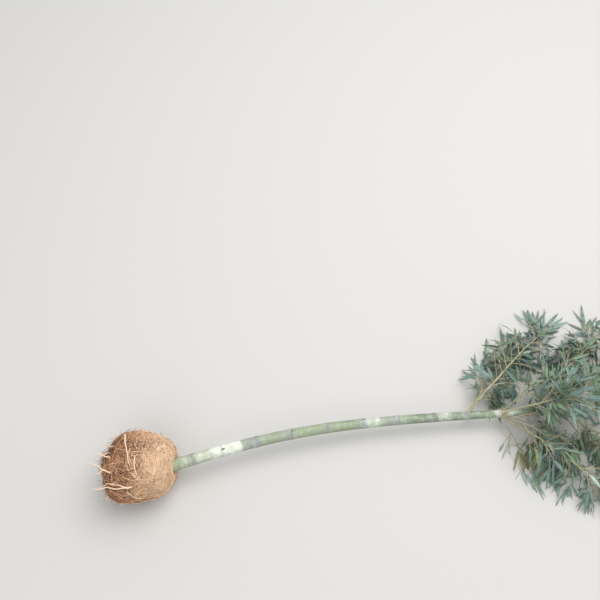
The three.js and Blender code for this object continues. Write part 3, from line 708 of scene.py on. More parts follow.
def coarse_roots(rows, seed):
    """Paths and radii of coarse roots between two places on the ball, with a slow wander from side to side.
    Past the ball's end they run out level. The radius falls evenly, and quickly over the last tenth."""
    random = np.random.default_rng(seed)
    place0, angle0, place1, angle1, size, bow = (column[:, None] for column in np.array(rows).T)
    along = np.linspace(0, 1, COARSE_STEPS)[None]
    place = place0 + (place1 - place0) * along + bow * 4 * along * (1 - along)
    angle = np.radians(angle0 + (angle1 - angle0) * along)
    phase = random.uniform(0, 2 * np.pi, (len(rows), 2, 1))
    turns = 3 + 7 * (np.abs(place1 - place0) + np.radians(np.abs(angle1 - angle0)))
    place = place + ROOT_WAVE * np.sin(turns * along + phase[:, 0]) * along
    angle = angle + 1.6 * ROOT_WAVE * np.sin(1.3 * turns * along + phase[:, 1]) * np.minimum(along * 4, 1)
    held = np.maximum(place, ROOT_LEAVES_AT)
    half = len(OUTLINE[0]) // 2
    reach = np.where(held < 0, np.interp(held, OUTLINE[1][:half], OUTLINE[0][:half]),
                     np.interp(held, OUTLINE[1][half:], OUTLINE[0][half:]))
    lift = 1.5 * size + 0.5 * np.sin(9 * along + 7 * size) - 3.8 * size * np.clip(1 - along / 0.1, 0, 1)
    lift = lift - 3 * size * ramp(along, 0.9, 0.1) * (place1 > ROOT_LEAVES_AT)
    points = ball_point(reach, angle, lift)
    out = (place - held) * BALL_LENGTH / 2
    points = points + out[..., None] * [np.cos(BALL_YAW), np.sin(BALL_YAW), 0]
    wander = np.cumsum(np.cumsum(random.normal(0, ROOT_WANDER, points.shape), 1), 1)
    points = points + wander - wander[:, :1]
    radii = size * (1 - COARSE_TAPER * along) * np.clip((1.02 - along) / 0.12, 0.12, 1) ** 0.6
    return on_ground(points, radii), radii


coarse = [bars(*coarse_roots(rows, seed), COARSE_SIDES)
          for rows, seed in [(COARSE_ROOTS, 51), (THINNER_ROOTS, 52)]]
coarse_piece = new_bars("coarse_roots", np.concatenate(coarse))
coarse_piece.data.materials.append(mottled_material(
    "pale_root", 0.6, PALE_ROOT_SHADE, PALE_ROOT, 110.0, 700.0, relief=(0.4, 0.0006)))
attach(coarse_piece, "root")

# Buds: a flat scale-covered bud sits over each of the lower joints, on one side and then the other.
# Each is a short ovate knob pressed to the cane.
BUD_LENGTH = 9
BUD_RADIUS = 2.8
BUD_RINGS = 9
BUD_SIDES = 12
BUD_ROLLS = (280, 100)
BUD_ROLL_STEP = 9
BUD_BROWN = (112, 114, 94)
BUD_STRAW = (154, 154, 126)

bud_share = np.linspace(0, 1, BUD_RINGS)[None]
bud_nodes = np.arange(FIRST_CROWN_NODE)
bud_rolls = np.radians(np.where(bud_nodes % 2, BUD_ROLLS[1], BUD_ROLLS[0]) - BUD_ROLL_STEP * bud_nodes)
bud_s = NODES[bud_nodes][:, None] + BUD_LENGTH * bud_share
bud_off = culm_radius(bud_s) - 0.6 + 0.9 * bud_share
bud_paths = culm_point(bud_s) + out_of_culm(bud_s, bud_rolls[:, None]) * bud_off[..., None]
bud_radii = BUD_RADIUS * (1 - 0.05 * bud_nodes)[:, None] * np.sin(np.pi * (0.16 + 0.82 * bud_share)) ** 0.8
bud_piece = new_bars("culm_buds", bars(bud_paths, bud_radii, BUD_SIDES))
bud_piece.data.materials.append(mottled_material("bud_scale", 0.7, BUD_BROWN, BUD_STRAW, 150.0, 900.0))
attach(bud_piece, "root")

# Boughs: one or two branches from each of the crown's lower joints, left, right or on top. Each leaves its
# joint at a wide angle, tapers, and has small joints too. Its bark is smooth and dry, straw over green.
# A row of boughs: roll in degrees, sector of rolls that its leaves keep to, reach, droop, and joints.
ROWS = {
    "left": {"roll": 24, "from": -90, "to": 56, "reach": 1, "droop": 0.44,
             "nodes": [8, 10, 12, 14, 16, 19]},
    "right": {"roll": 158, "from": 124, "to": 270, "reach": 1, "droop": 0.42,
              "nodes": [9, 11, 13, 15, 17, 20]},
    "top": {"roll": 92, "from": 56, "to": 124, "reach": 0.62, "droop": 0.16,
            "nodes": [9, 12, 15, 18]},
}
SPACE_SHIFT = 20
SPACE_GAP = 2
TIP_SPACE = 46
CROWN_LEAN = np.radians(48)
BOUGH_LENGTH = 74
BOUGH_RADIUS = 3.1
BOUGH_TAPER = 0.25
BOUGH_BEND = 0.04
BOUGH_SHARE_AT_TIP = 0.58
BOUGH_SIDES = 14
BOUGH_STATIONS = np.unique(np.concatenate([np.linspace(0, 1, 40), [0.3, 0.62, 0.94]]))
# The collar at a bough's foot: its swelling, the place where it has that much, its fade, and its limit.
COLLAR_SWELL = 0.7
COLLAR_PLACE = 13
COLLAR_FADE = 4
COLLAR_LIMIT = 1.5
BRANCH_JOINT = 23
BRANCH_JOINT_SWELL = 0.22
JOINT_WIDTH = 1.6
JOINT_SCAR_WIDTH = 1.2
GROUND_CLEARANCE = 5
GROUND_SOFTNESS = 3
SWAY = 0.011
SWAY_WAVES = 8
BARK_STRAW = (188, 177, 146)
BARK_GREEN = (142, 150, 117)
BARK_SCAR = (124, 108, 86)


def share_at(s, share_at_tip):
    """Limbs shrink evenly from the crown's foot, where the share is 1, to the culm's tip."""
    vigour = (CULM_LENGTH - s) / (CULM_LENGTH - NODES[FIRST_CROWN_NODE])
    return share_at_tip + (1 - share_at_tip) * np.clip(vigour, 0, 1)


def branch_direction(s, roll, lean):
    """The direction of a branch that leaves the culm at station s and a roll, and leans out by an angle."""
    return out_of_culm(s, roll) * np.sin(lean) + culm_frame(s)[0] * np.cos(lean)


def softened(height, clearance=GROUND_CLEARANCE, softness=GROUND_SOFTNESS):
    """A height left alone well above a clearance, and levelled off near it: a hyperbola between the two."""
    low = height - clearance
    return clearance + (low + np.sqrt(low * low + 4 * softness ** 2)) / 2


def limb_points(limbs, t):
    """Points of limbs at shares t of their length: parabolas, start + direction * length * t
    + bend * length * t^2, that are kept off the ground, and that sway from side to side by a small share of
    the length, each by its own. Limbs are four arrays: starts, directions, bends and lengths."""
    start, direction, bend, length = limbs
    t = np.broadcast_to(t, (len(length), np.shape(t)[-1]))
    ahead = (length[:, None] * t)[..., None]
    points = start[:, None] + direction[:, None] * ahead + bend[:, None] * ahead * t[..., None]
    sway = (SWAY * length * np.sin(13 * length))[:, None] * np.sin(SWAY_WAVES * t)
    points = points + unit(np.cross([0, 0, 1], direction))[:, None] * sway[..., None]
    points[..., 2] = softened(points[..., 2]) + (start[:, 2] - softened(start[:, 2]))[:, None]
    return points


def limb_frames(limbs, t):
    """Unit vectors of limbs at shares t: along the limb, level across it, and over it."""
    along = unit(limb_points(limbs, t + 0.01) - limb_points(limbs, t - 0.01))
    across = unit(np.cross([0, 0, 1], along))
    return along, across, np.cross(along, across)


def off_joint(length, t, spacing):
    """How far a limb at shares t of its length is from its nearest joint, at an even spacing along it."""
    return (length[:, None] * t + spacing / 2) % spacing - spacing / 2


def jointed(length, t, radii, spacing, swell):
    """Radii with a small swelling at each joint."""
    return radii * (1 + swell * near(off_joint(length, t, spacing), 0, JOINT_WIDTH))


spaces = []
for row_name, row in ROWS.items():
    at_nodes = NODES[row["nodes"]]
    between = (at_nodes[:-1] + at_nodes[1:]) / 2 + SPACE_SHIFT
    limits = [at_nodes[0] - LONGEST_INTERNODE, *between, CULM_LENGTH - TIP_SPACE]
    for i, station in enumerate(at_nodes):
        spaces.append({"name": f"{row_name}_{i + 1}", "s": station, "before": limits[i],
                       "after": limits[i + 1], **row})
space_s = np.array([space["s"] for space in spaces])
space_roll = np.radians([space["roll"] for space in spaces])
bough_share = share_at(space_s, BOUGH_SHARE_AT_TIP)
boughs = (culm_point(space_s), branch_direction(space_s, space_roll, CROWN_LEAN),
          culm_frame(space_s)[0] * BOUGH_BEND, BOUGH_LENGTH * bough_share)
bough_size = BOUGH_RADIUS * bough_share
bough_radii = jointed(boughs[3], BOUGH_STATIONS, bough_size[:, None] * (1 - BOUGH_TAPER * BOUGH_STATIONS),
                      BRANCH_JOINT, BRANCH_JOINT_SWELL)
past_collar = boughs[3][:, None] * BOUGH_STATIONS - COLLAR_PLACE
bough_radii = bough_radii * (1 + COLLAR_SWELL * np.exp(-past_collar / COLLAR_FADE))
bough_radii = np.minimum(bough_radii, COLLAR_LIMIT * bough_size[:, None])
bough_piece = new_bars("boughs", bars(limb_points(boughs, BOUGH_STATIONS), bough_radii, BOUGH_SIDES))
joint_scar = near(off_joint(boughs[3], BOUGH_STATIONS, BRANCH_JOINT), 0, JOINT_SCAR_WIDTH)
mark(bough_piece, "scar", np.repeat(joint_scar, BOUGH_SIDES))
bough_piece.data.materials.append(mottled_material(
    "branch_bark", 0.6, BARK_GREEN, BARK_STRAW, 40.0, 420.0, relief=(0.3, 0.0004),
    covers=[("scar", 0.2, 1, 0.7, BARK_SCAR)]))
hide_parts(*[f"bough_{space['name']}" for space in spaces])
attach(bough_piece, "root")

# Sheaths: papery scales that wrapped the upper joints. They have dried to straw and split, and cling round
# the joints by their feet, open on the side where the branch came out.
SHEATH_NODES = np.arange(FIRST_CROWN_NODE + 1, len(NODES))
SHEATH_THICKNESS = 0.45
SHEATH_ROWS = 10
SHEATH_COLUMNS = 25
SHEATH_FOOT = 1.5
# Degrees round the culm from the row of boughs on that side to a sheath's middle, and half its width.
SHEATH_ROLL = 155
SHEATH_ROLL_SPREAD = 15
SHEATH_HALF_WIDTHS = (1.5, 2.2)
SHEATH_HEIGHTS = (20, 42)
SHEATH_FLARES = (1.5, 5)
SHEATH_SHARE_AT_TIP = 0.5
SHEATH_GAP = 0.5
SHEATH_CLEARANCE = 0.3
SHEATH_STRAW = (212, 204, 178)
SHEATH_BROWN = (172, 158, 130)


def shell_faces(count, rows, columns):
    """Faces of closed shells: each an outer and an inner grid of points, joined round their rims."""
    at = np.arange(rows * columns).reshape(rows, columns)
    inner = at + rows * columns
    skins = [np.stack([at[:-1, :-1], at[:-1, 1:], at[1:, 1:], at[1:, :-1]], -1),
             np.stack([inner[:-1, :-1], inner[1:, :-1], inner[1:, 1:], inner[:-1, 1:]], -1)]
    rims = [np.stack([at[:-1, 0], at[1:, 0], inner[1:, 0], inner[:-1, 0]], -1),
            np.stack([at[1:, -1], at[:-1, -1], inner[:-1, -1], inner[1:, -1]], -1),
            np.stack([at[0, 1:], at[0, :-1], inner[0, :-1], inner[0, 1:]], -1),
            np.stack([at[-1, :-1], at[-1, 1:], inner[-1, 1:], inner[-1, :-1]], -1)]
    faces = np.concatenate([skin.reshape(-1, 4) for skin in skins + rims])
    return (faces + np.arange(count)[:, None, None] * 2 * rows * columns).reshape(-1, 4)


random = np.random.default_rng(seed=57)
count = len(SHEATH_NODES)
side = np.where(SHEATH_NODES % 2, ROWS["right"]["roll"], ROWS["left"]["roll"])
shift = random.uniform(-SHEATH_ROLL_SPREAD, SHEATH_ROLL_SPREAD, count)
middle = np.radians(side + SHEATH_ROLL + shift)[:, None, None]
shrink = np.linspace(1, SHEATH_SHARE_AT_TIP, count)[:, None, None]
height = shrink * random.uniform(*SHEATH_HEIGHTS, count)[:, None, None]
width = random.uniform(*SHEATH_HALF_WIDTHS, count)[:, None, None]
flare = shrink * random.uniform(*SHEATH_FLARES, count)[:, None, None]
up_it = np.linspace(0, 1, SHEATH_ROWS)[:, None]
round_it = np.linspace(-1, 1, SHEATH_COLUMNS)
tatter = 1 + 0.16 * np.sin(23 * round_it + 5 * middle) + 0.1 * np.sin(41 * round_it + 9 * middle)
tall = height * (1 - 0.75 * np.abs(round_it) ** 1.5) * tatter
sheath_s = NODES[SHEATH_NODES][:, None, None] - SHEATH_FOOT + tall * up_it
sheath_roll = middle + width * round_it * (1 - 0.25 * up_it)
off = culm_radius(sheath_s) * 1.09 + SHEATH_GAP + flare * up_it ** 2
off = off + 0.35 * np.sin(7 * sheath_roll + 3 * middle)
layers = np.stack([culm_point(sheath_s) + out_of_culm(sheath_s, sheath_roll) * (off + lift)[..., None]
                   for lift in (SHEATH_THICKNESS, 0)], 1)
shells = shell_faces(count, SHEATH_ROWS, SHEATH_COLUMNS)
sheaths = new_piece("sheaths", on_ground(layers, SHEATH_CLEARANCE), shells)
grain = np.stack([10 * np.cos(sheath_roll), 10 * np.sin(sheath_roll), 0.05 * sheath_s], -1)
mark(sheaths, "grain", np.stack([grain, grain], 1), "FLOAT_VECTOR")
sheaths.data.materials.append(mottled_material(
    "dry_sheath", 0.85, SHEATH_BROWN, SHEATH_STRAW, 0.25, 1.4, relief=(0.5, 0.0006), kept="grain"))
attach(sheaths, "root")

# Stems and twigs: each bough runs on as a stem that sags to its reach, with twigs on alternate sides and
# twiglets on those. All are thin, wiry and jointed, and dry from green to straw.
STEM_LENGTH = 240
STEM_SHARE_AT_TIP = 0.47
STEM_FORWARD = 0.02
TIP_STEM = 84
TIP_DROOP = 0.06
TWIGS_A_MASS = 7
SPRAY_SHARE_AT_TIP = 0.62
TWIG_LENGTH = 56
TWIG_ANGLE = np.radians(32)
TWIG_TILT = np.radians(30)
TWIG_DROOP = 0.2
LENGTH_SPREAD = 0.15
TURN_SPREAD = 0.2
FIRST_SEED = 141
TIP_SEED = 91
BETWEEN_SEED = 300
BETWEEN_LENGTH = 0.85
# Two thinner branches from the foot of each bough, rolled to either side of it: share of the side roll, lean
# in degrees, sag, length, and the first place, count, seed and length of their twigs.
SIDE_ROLL = np.radians(30)
SIDE_BRANCHES = [(1, 52, 1.3, 0.62, 0.36, 6, 600, 0.8), (-0.8, 60, 1.6, 0.4, 0.4, 4, 900, 0.75)]
LAST_ROLLS = {"left": 30, "right": 152, "top": 90}
LAST_LEAN = np.radians(38)
LAST_LENGTH = 1.8
TIP_REACH = 75
TWIGLET_PLACES = [0.14, 0.32, 0.5, 0.67, 0.84, 1.0]
TWIGLET_DROOP = 0.3
TWIGLET_SHIFT = 0.06
TWIGLET_TURNS = (0.4, 0.95)
TWIGLET_TILTS = (-0.6, 0.5)
TWIGLET_LENGTHS = (20, 46)
END_TWIGLET_TURN = 0.2
END_TWIGLET_LENGTHS = (10, 20)
SPURS = 9
SPUR_PLACES = (0.1, 0.97)
SPUR_SPREAD = 0.6
SPUR_LEANS = (0.3, 1.0)
SPUR_LENGTHS = (10, 24)
BARE_TWIGS = 3
BARE_PLACES = (0.05, 0.9)
BARE_TURNS = (0.5, 1.2)
BARE_TILTS = (-0.2, 0.9)
BARE_LENGTHS = (45, 90)
BARE_DROOP = 0.1
BARE_SLACK = 4
TWIG_JOINT = 17
TWIG_JOINT_SWELL = 0.28
TWIG_STRAW = (192, 178, 148)
TWIG_GREEN = (138, 145, 112)


def seeded(seed):
    """A seeded random sequence: a 32-bit linear congruential generator, as a share of its range."""
    state = (seed * 2654435769) % 2 ** 32

    def draw():
        nonlocal state
        state = (state * 1664525 + 1013904223) % 2 ** 32
        return state / 2 ** 32

    return draw


def varied(random, spread):
    """A random factor within a spread of 1."""
    return 1 + spread * (2 * random() - 1)


def in_space(space, points, slack):
    """Whether points keep to a mass's space, give or take a slack: a sector of rolls round the culm, and a
    slab of the stations that a branch to them would start from at the crown's lean."""
    s = nearest_station(points, tries=3)
    _, left, up = culm_frame(s)
    offset = points - culm_point(s)
    distance = np.linalg.norm(offset, axis=-1)
    roll = np.degrees(np.arctan2(np.sum(offset * up, -1), np.sum(offset * left, -1)))
    start = s - distance / np.tan(CROWN_LEAN)
    fits = distance > culm_radius(s) + SPACE_GAP
    fits &= (start - space["before"]) * np.sin(CROWN_LEAN) > -slack
    fits &= (space["after"] - start) * np.sin(CROWN_LEAN) > -slack
    roll = np.where(roll < space["from"], roll + 360, roll)
    inside = np.minimum(roll - space["from"], space["to"] - roll)
    inside = np.where(inside < 90, distance * np.sin(np.radians(inside)), distance)
    return fits & (inside > -slack)


def one_limb(limbs, i):
    """One limb of many, as limbs."""
    return tuple(part[i:i + 1] for part in limbs)


def limb_from(stem, t, droop, length, turn, tilt, last_start=1):
    """A limb that leaves a stem at share t of its length, or at a last share, turned from along to across
    and tilted over it. Gives it as limbs, and the directions across and over the stem."""
    along, across, over = (axis[0] for axis in limb_frames(stem, np.array([t])))
    direction = (along * np.cos(turn) + across * np.sin(turn)) * np.cos(tilt) + over * np.sin(tilt)
    start = limb_points(stem, np.array([min(t, last_start)]))[0]
    return (start, direction, np.array([[0, 0, -droop]]), np.array([length])), across[0], over[0]


def keeps_to(space, limb, slack):
    """Whether a limb's middle and end keep to a mass's space."""
    return np.all(in_space(space, limb_points(limb, np.array([0.5, 1]))[0], slack))


def twigs_of(space, stem, seed, places, length_share):
    """The twigs of one stem, at places along it: on alternate sides, the last in line with it. A twig that
    would leave the mass's space is skipped. Gives each with its leaves' flat side and its size."""
    random = seeded(seed)
    size = share_at(space["s"], SPRAY_SHARE_AT_TIP)
    found = []
    for j, t in enumerate(places):
        turn = 0 if t == 1 else (1 if j % 2 else -1) * TWIG_ANGLE * varied(random, TURN_SPREAD)
        tilt = TWIG_TILT * (2 * random() - 1)
        length = TWIG_LENGTH * length_share * size * varied(random, LENGTH_SPREAD)
        twig, across, over = limb_from(stem, t, TWIG_DROOP, length, turn, tilt, last_start=0.97)
        flat = across + over * 0.5 * (2 * random() - 1)
        if keeps_to(space, twig, 0):
            found.append((*(part[0] for part in twig), flat, size))
    return found


droops = np.array([space["droop"] for space in spaces])
reaches = np.array([space["reach"] for space in spaces])
stem_bends = np.stack([np.full(len(spaces), STEM_FORWARD), 0 * droops, -droops], -1)
stem_lengths = STEM_LENGTH * share_at(space_s, STEM_SHARE_AT_TIP) * reaches
bough_end = np.array([1.0])
stems = (np.concatenate([limb_points(boughs, bough_end)[:, 0], [culm_point(CULM_LENGTH)]]),
         np.concatenate([limb_frames(boughs, bough_end)[0][:, 0], [culm_frame(CULM_LENGTH)[0]]]),
         np.concatenate([stem_bends, [[0, 0, -TIP_DROOP]]]),
         np.append(stem_lengths, TIP_STEM))
spaces.append({"name": "tip", "s": CULM_LENGTH, "before": CULM_LENGTH - TIP_SPACE,
               "after": CULM_LENGTH + STEM_LENGTH, "from": -1000, "to": 1000})
seeds = [*range(FIRST_SEED, FIRST_SEED + len(space_s)), TIP_SEED]
side_rolls = SIDE_ROLL * np.where(np.arange(len(space_s)) % 2, 1, -1)
side_stems = []
for turn, lean, sag, share, *_ in SIDE_BRANCHES:
    direction = branch_direction(space_s, space_roll + turn * side_rolls, np.radians(lean))
    side_stems.append((culm_point(space_s), direction, sag * stem_bends, share * (boughs[3] + stem_lengths)))

places = (np.arange(TWIGS_A_MASS) + 0.5) / (TWIGS_A_MASS - 0.5)
between = (places[:-1] + places[1:]) / 2
twig_rows = []
for i, (space, seed) in enumerate(zip(spaces, seeds)):
    grown = [(stems, places, seed, 1.0), (stems, between, seed + BETWEEN_SEED, BETWEEN_LENGTH)]
    if i < len(space_s):
        for limbs, (*_, first, count, seed_step, share) in zip(side_stems, SIDE_BRANCHES):
            chosen = first + (1 - first) * np.arange(count) / (count - 1)
            grown.append((limbs, chosen, seed + seed_step, share))
    for limbs, chosen, twig_seed, share in grown:
        twig_rows += [(i, *twig) for twig in twigs_of(space, one_limb(limbs, i), twig_seed, chosen, share)]

# Past the last boughs each joint bears two twigs straight from the culm, in the spaces of the last masses.
random = seeded(FIRST_SEED - 1)
for node in range(max(row["nodes"][-1] for row in ROWS.values()) + 1, len(NODES)):
    station = NODES[node]
    size = share_at(station, SPRAY_SHARE_AT_TIP)
    for j in range(2):
        row_name = list(ROWS)[(node + j) % 3]
        at_tip = station > CULM_LENGTH - TIP_REACH
        i = max(k for k, space in enumerate(spaces) if at_tip or space["name"].startswith(row_name))
        roll = np.radians(LAST_ROLLS[row_name]) * varied(random, TURN_SPREAD)
        direction = unit(branch_direction(station, roll, LAST_LEAN))
        length = LAST_LENGTH * TWIG_LENGTH * size * varied(random, LENGTH_SPREAD)
        flat = np.cross(direction, out_of_culm(station, roll))
        twig_rows.append((i, culm_point(station), direction, (0, 0, -TWIG_DROOP), length, flat, size))
twig_space, *twigs, twig_flat, twig_size = (np.array(column) for column in zip(*twig_rows))
twig_flat = unit(twig_flat)

# Twiglets: side ones at five places along each twig, on alternate sides, and a short one that ends it.
random = np.random.default_rng(seed=61)
count = len(twig_size)
batches = []
for j, place in enumerate(TWIGLET_PLACES):
    last = place == 1.0
    shift = random.uniform(-TWIGLET_SHIFT, TWIGLET_SHIFT, count)
    at = np.clip(place + shift * (not last), 0, 1)[:, None]
    along, across, over = (axis[:, 0] for axis in limb_frames(twigs, at))
    turns = (-END_TWIGLET_TURN, END_TWIGLET_TURN) if last else TWIGLET_TURNS
    turn = (1 if last or j % 2 else -1) * random.uniform(*turns, count)
    tilt = random.uniform(*TWIGLET_TILTS, count)
    direction = along * np.cos(turn)[:, None] + twig_flat * np.sin(turn)[:, None]
    direction = unit(direction + over * np.sin(tilt)[:, None])
    length = twig_size * random.uniform(*(END_TWIGLET_LENGTHS if last else TWIGLET_LENGTHS), count)
    batches.append((limb_points(twigs, at)[:, 0], direction, length, np.arange(count)))

# Spurs: short twiglets over the stems themselves, each with the sprays of a twig nearby.
spur_at = random.uniform(*SPUR_PLACES, (len(spaces), SPURS))
along, across, over = (axis.reshape(-1, 3) for axis in limb_frames(stems, spur_at))
count = spur_at.size
direction = over + across * random.normal(0, SPUR_SPREAD, (count, 1))
direction = direction + along * random.uniform(*SPUR_LEANS, (count, 1))
owner = np.array([random.choice(np.flatnonzero(twig_space == i), SPURS) for i in range(len(spaces))]).ravel()
batches.append((limb_points(stems, spur_at).reshape(-1, 3), unit(direction),
                twig_size[owner] * random.uniform(*SPUR_LENGTHS, count), owner))
start, direction, length, twiglet_twig = (np.concatenate(column) for column in zip(*batches))
twiglets = (start, direction, np.tile([0, 0, -TWIGLET_DROOP], (len(length), 1)), length)

# Bare twigs: long straight ones that have lost their leaves, from random places on the stems.
random = np.random.default_rng(seed=67)
bare = []
for i, space in enumerate(spaces):
    for place in random.uniform(*BARE_PLACES, BARE_TWIGS):
        turn = random.uniform(*BARE_TURNS) * random.choice([-1, 1])
        tilt = random.uniform(*BARE_TILTS)
        length = random.uniform(*BARE_LENGTHS) * share_at(space["s"], SPRAY_SHARE_AT_TIP)
        limb, *_ = limb_from(one_limb(stems, i), place, BARE_DROOP, length, turn, tilt)
        if keeps_to(space, limb, BARE_SLACK):
            bare.append(limb)
bare_twigs = tuple(np.concatenate(column) for column in zip(*bare))

# Each sort of wood: its limbs, radius at the start and at the end, rings and sides.
wood = []
for limbs, start_radius, end_radius, rings, sides in [
        (stems, np.append(0.75 * bough_size, 1.8), 0.9, 44, 8),
        (side_stems[0], 0.62 * bough_size, 0.7, 32, 7),
        (side_stems[1], 0.5 * bough_size, 0.65, 20, 7),
        (bare_twigs, 0.8, 0.45, 10, 5),
        (twigs, 1.15 * twig_size ** 0.5, 0.6, 10, 5),
        (twiglets, 0.62, 0.42, 5, 4)]:
    t = np.linspace(0, 1, rings)
    thick = np.broadcast_to(start_radius, limbs[3].shape)[:, None]
    radii = jointed(limbs[3], t, thick + (end_radius - thick) * t, TWIG_JOINT, TWIG_JOINT_SWELL)
    wood.append(bars(limb_points(limbs, t), radii, sides))
twig_piece = new_bars("stems_and_twigs", *wood)
twig_piece.data.materials.append(mottled_material("twig_bark", 0.65, TWIG_GREEN, TWIG_STRAW, 25.0, 300.0))
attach(twig_piece, "root")

# Leaves: narrow blades, each on a short neck, in hands of up to five on a twiglet. A blade is folded along
# its rib, widest before its middle, and hangs lower to its point. Most are green with a grey bloom
# underneath. A few sprays have turned olive or dried to straw, and single leaves are pale.
LEAF_LENGTH = 57
LEAF_WIDTH = 0.15
LEAF_FOLD = 0.30
LEAF_THICKNESS = 0.5
LEAF_SOFTNESS = 1.2
LEAF_SLACK = 14
LEAF_TWIST = 0.6
# How thickly a spray is leaved: middle, spread and least.
FULLNESS = (0.64, 0.3, 0.12)
# Limits of a leaf's turn off its twiglet, its size, how it hangs, and its height over the ground.
LEAF_TURNS = (0.6, 1.35)
LEAF_SIZES = (0.72, 1.14)
LEAF_SINKS = (0.1, 0.85)
LEAF_LEANS = (0, 0.3)
LEAF_DROOPS = (0.08, 0.45)
LEAF_HEIGHTS = (0.6, 6.0)
# Along a twiglet: place, chance at full leaf, degrees off it, and size.
LEAF_PLACES = [(0.3, 0.3, 50, 0.72), (0.5, 0.6, 42, 0.85), (0.7, 0.9, 32, 0.95), (0.86, 1.1, 22, 1.0),
               (1.0, 1.05, 5, 0.98)]
LEAF_HANG = {"left": 1.0, "right": 1.0, "top": 0.2, "tip": 0.6}
LEAF_STATIONS = np.array([0, 0.06, 0.2, 0.44, 0.74, 1.0])
LEAF_WIDTHS = np.array([0.06, 0.10, 0.86, 1.0, 0.60, 0.04])
# Share of the sprays, upper side and underside.
LEAF_TINTS = {
    "leaves_mid_green": (0.42, (113, 134, 107), (146, 161, 145)),
    "leaves_blue_green": (0.32, (113, 137, 127), (150, 169, 163)),
    "leaves_deep_green": (0.20, (93, 114, 96), (121, 141, 124)),
    "leaves_olive": (0.05, (130, 128, 88), (148, 146, 108)),
    "leaves_straw": (0.01, (184, 176, 148), (196, 190, 166)),
    "leaves_pale": (0, (166, 184, 166), (182, 196, 182)),
}
PALE_LEAVES = 0.035


def leaf_blades(neck, direction, side, length, droop, ground):
    """Leaf blades as rings of four points: right edge, rib above, left edge, rib below. The middle line is
    neck + direction * length * t, and hangs by length * droop * t^2. The fold lifts the edges."""
    t = LEAF_STATIONS
    ahead = (length[:, None] * t)[..., None]
    line = neck[:, None] + direction[:, None] * ahead
    line[..., 2] -= droop[:, None] * length[:, None] * t * t
    normal = np.cross(direction, side)[:, None, None]
    half = (LEAF_WIDTH / 2 * length[:, None] * LEAF_WIDTHS)[..., None, None]
    across = np.array([1, 0, -1, 0])[:, None]
    above = np.array([LEAF_FOLD, 0, LEAF_FOLD, 0])[:, None]
    rib = np.array([0, 0.5, 0, -0.5])[:, None] * LEAF_THICKNESS
    points = line[:, :, None] + side[:, None, None] * half * across + normal * (half * above + rib)
    points[..., 2] = softened(points[..., 2], ground[:, None, None], LEAF_SOFTNESS)
    return points


random = np.random.default_rng(seed=71)
hand_size = twig_size[twiglet_twig]
hang = np.array([LEAF_HANG[space["name"].split("_")[0]] for space in spaces])[twig_space[twiglet_twig]]
fullness = np.clip(random.normal(*FULLNESS[:2], len(twig_size)), FULLNESS[2], 1)[twiglet_twig]
batches = []
hand_frames = limb_frames(twiglets, np.full((len(hand_size), 1), 0.9))
for j, (place, chance, degrees, share) in enumerate(LEAF_PLACES):
    there = random.random(len(hand_size)) < chance * fullness
    along, across, over = (axis[there, 0] for axis in hand_frames)
    count = int(there.sum())
    turn = (-1 if j % 2 else 1) * np.radians(degrees) * random.uniform(*LEAF_TURNS, count)
    flat = unit(across + over * random.normal(0, LEAF_TWIST, count)[:, None])
    direction = along * np.cos(turn)[:, None] + flat * np.sin(turn)[:, None]
    direction[:, 2] += 0.3 * (1 - hang[there]) - hang[there] * random.uniform(*LEAF_SINKS, count)
    direction[:, 1] -= hang[there] * random.uniform(*LEAF_LEANS, count)
    direction = unit(direction)
    side = unit(flat - direction * np.sum(flat * direction, -1, keepdims=True))
    roll = random.normal(0, LEAF_TWIST, count)[:, None]
    side = side * np.cos(roll) + np.cross(direction, side) * np.sin(roll)
    side = np.where(np.cross(direction, side)[:, 2:] < 0, -side, side)
    neck = limb_points(twiglets, np.array([place]))[there, 0]
    length = LEAF_LENGTH * share * hand_size[there] ** 0.8 * random.uniform(*LEAF_SIZES, count)
    droop = hang[there] * random.uniform(*LEAF_DROOPS, count)
    made = leaf_blades(neck, direction, side, length, droop, random.uniform(*LEAF_HEIGHTS, count))
    owner = twiglet_twig[there]
    fits = np.zeros(count, bool)
    outer_half = made.mean(2)[:, 3:]
    for i, space in enumerate(spaces):
        mine = twig_space[owner] == i
        fits[mine] = np.all(in_space(space, outer_half[mine], LEAF_SLACK), axis=1)
    batches.append((made[fits], owner[fits]))
blades, blade_twig = (np.concatenate(column) for column in zip(*batches))

random = np.random.default_rng(seed=23114)
spray_draw = random.random(len(twig_size))[blade_twig]
shares = np.cumsum([row[0] for row in LEAF_TINTS.values()])
blade_tint = np.searchsorted(shares / shares[-1], spray_draw)
blade_tint[random.random(len(blades)) < PALE_LEAVES] = len(LEAF_TINTS) - 1
for tint_number, (name, (_, upper, under)) in enumerate(LEAF_TINTS.items()):
    mine = blades[blade_tint == tint_number]
    leaves = new_bars(name, mine)
    walls = len(mine) * (len(LEAF_STATIONS) - 1) * 4
    sides = np.zeros(len(leaves.data.polygons), np.int32)
    sides[:walls] = np.tile([0, 0, 1, 1], walls // 4)
    leaves.data.polygons.foreach_set("material_index", sides)
    edges = np.zeros(len(leaves.data.edges) * 2, np.int32)
    leaves.data.edges.foreach_get("vertices", edges)
    sharp = leaves.data.attributes.new("sharp_edge", "BOOLEAN", "EDGE")
    sharp.data.foreach_set("value", np.diff(edges.reshape(-1, 2) % 4, axis=1)[:, 0] == 0)
    for side_name, base, rough in [("upper", upper, 0.42), ("under", under, 0.7)]:
        darker = 0.9 * np.array(base)
        paler = np.minimum(1.1 * np.array(base) + 6, 255)
        blade = mottled_material(f"{name}_{side_name}", rough, darker, paler, 14.0, 120.0)
        leaves.data.materials.append(blade)
    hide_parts(*[f"leaves_{space['name']}" for space in spaces])
    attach(leaves, "root")

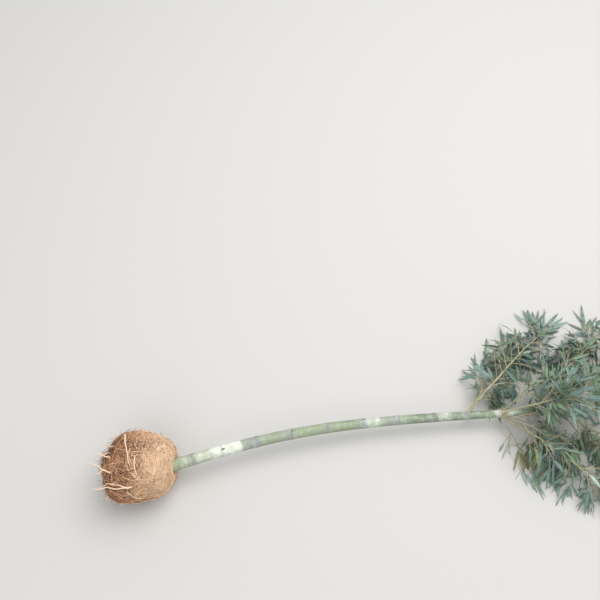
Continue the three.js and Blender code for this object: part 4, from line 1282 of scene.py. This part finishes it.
# Stage: a plain pale floor under the plant, a soft light high on the right and a weaker one opposite, and
# the camera, which looks down on the plant.
FLOOR_SIZE = 40.0
FLOOR_COLOUR = (205, 202, 197)
SKY_COLOUR = (236, 240, 245)
SKY_STRENGTH = 0.75
# Each light: where it is, its size and its power.
LIGHTS = {"soft_key": ((1.5, 0.9, 3.2), 2.8, 95), "soft_fill": ((-0.8, -2.4, 2.8), 2.6, 24)}
LIGHTS_AIM = (0.6, 0, 0)
CAMERA_AT = (0.3030, -0.4206, 1.6262)
CAMERA_AZIMUTH = np.radians(-7)
CAMERA_ELEVATION = np.radians(63)
FIELD_OF_VIEW = np.radians(46)
SENSOR_WIDTH = 36


def place_aimed(name, data, at, ahead):
    """Puts a light or a camera in the scene, with its -Z along a direction."""
    made = bpy.data.objects.new(name, data)
    made.location = at
    made.rotation_mode = "QUATERNION"
    made.rotation_quaternion = Vector(ahead).to_track_quat("-Z", "Y")
    bpy.context.scene.collection.objects.link(made)
    return made


corners = np.array([[-1, -1, 0], [1, -1, 0], [1, 1, 0], [-1, 1, 0]]) * FLOOR_SIZE / 2 / MM
floor = new_piece("floor", corners, np.array([[0, 1, 2, 3]]), smooth=False)
paper, tree, shader = new_material("pale_floor", 0.9)
shader.inputs["Base Color"].default_value = colour(*FLOOR_COLOUR)
floor.data.materials.append(paper)

world = bpy.data.worlds.new("soft_sky")
world.use_nodes = True
sky = world.node_tree.nodes["Background"]
sky.inputs["Color"].default_value = colour(*SKY_COLOUR)
sky.inputs["Strength"].default_value = SKY_STRENGTH
bpy.context.scene.world = world
for name, (at, size, power) in LIGHTS.items():
    light = bpy.data.lights.new(name, "AREA")
    light.size = size
    light.energy = power
    place_aimed(name, light, at, Vector(LIGHTS_AIM) - Vector(at))

lens = bpy.data.cameras.new("camera")
lens.sensor_width = SENSOR_WIDTH
lens.lens = SENSOR_WIDTH / 2 / np.tan(FIELD_OF_VIEW / 2)
lens.clip_start = 0.01
level = np.cos(CAMERA_ELEVATION)
camera_ahead = (-np.sin(CAMERA_AZIMUTH) * level, np.cos(CAMERA_AZIMUTH) * level, -np.sin(CAMERA_ELEVATION))
bpy.context.scene.camera = place_aimed("camera", lens, CAMERA_AT, camera_ahead)
bpy.context.scene.view_settings.view_transform = "Standard"
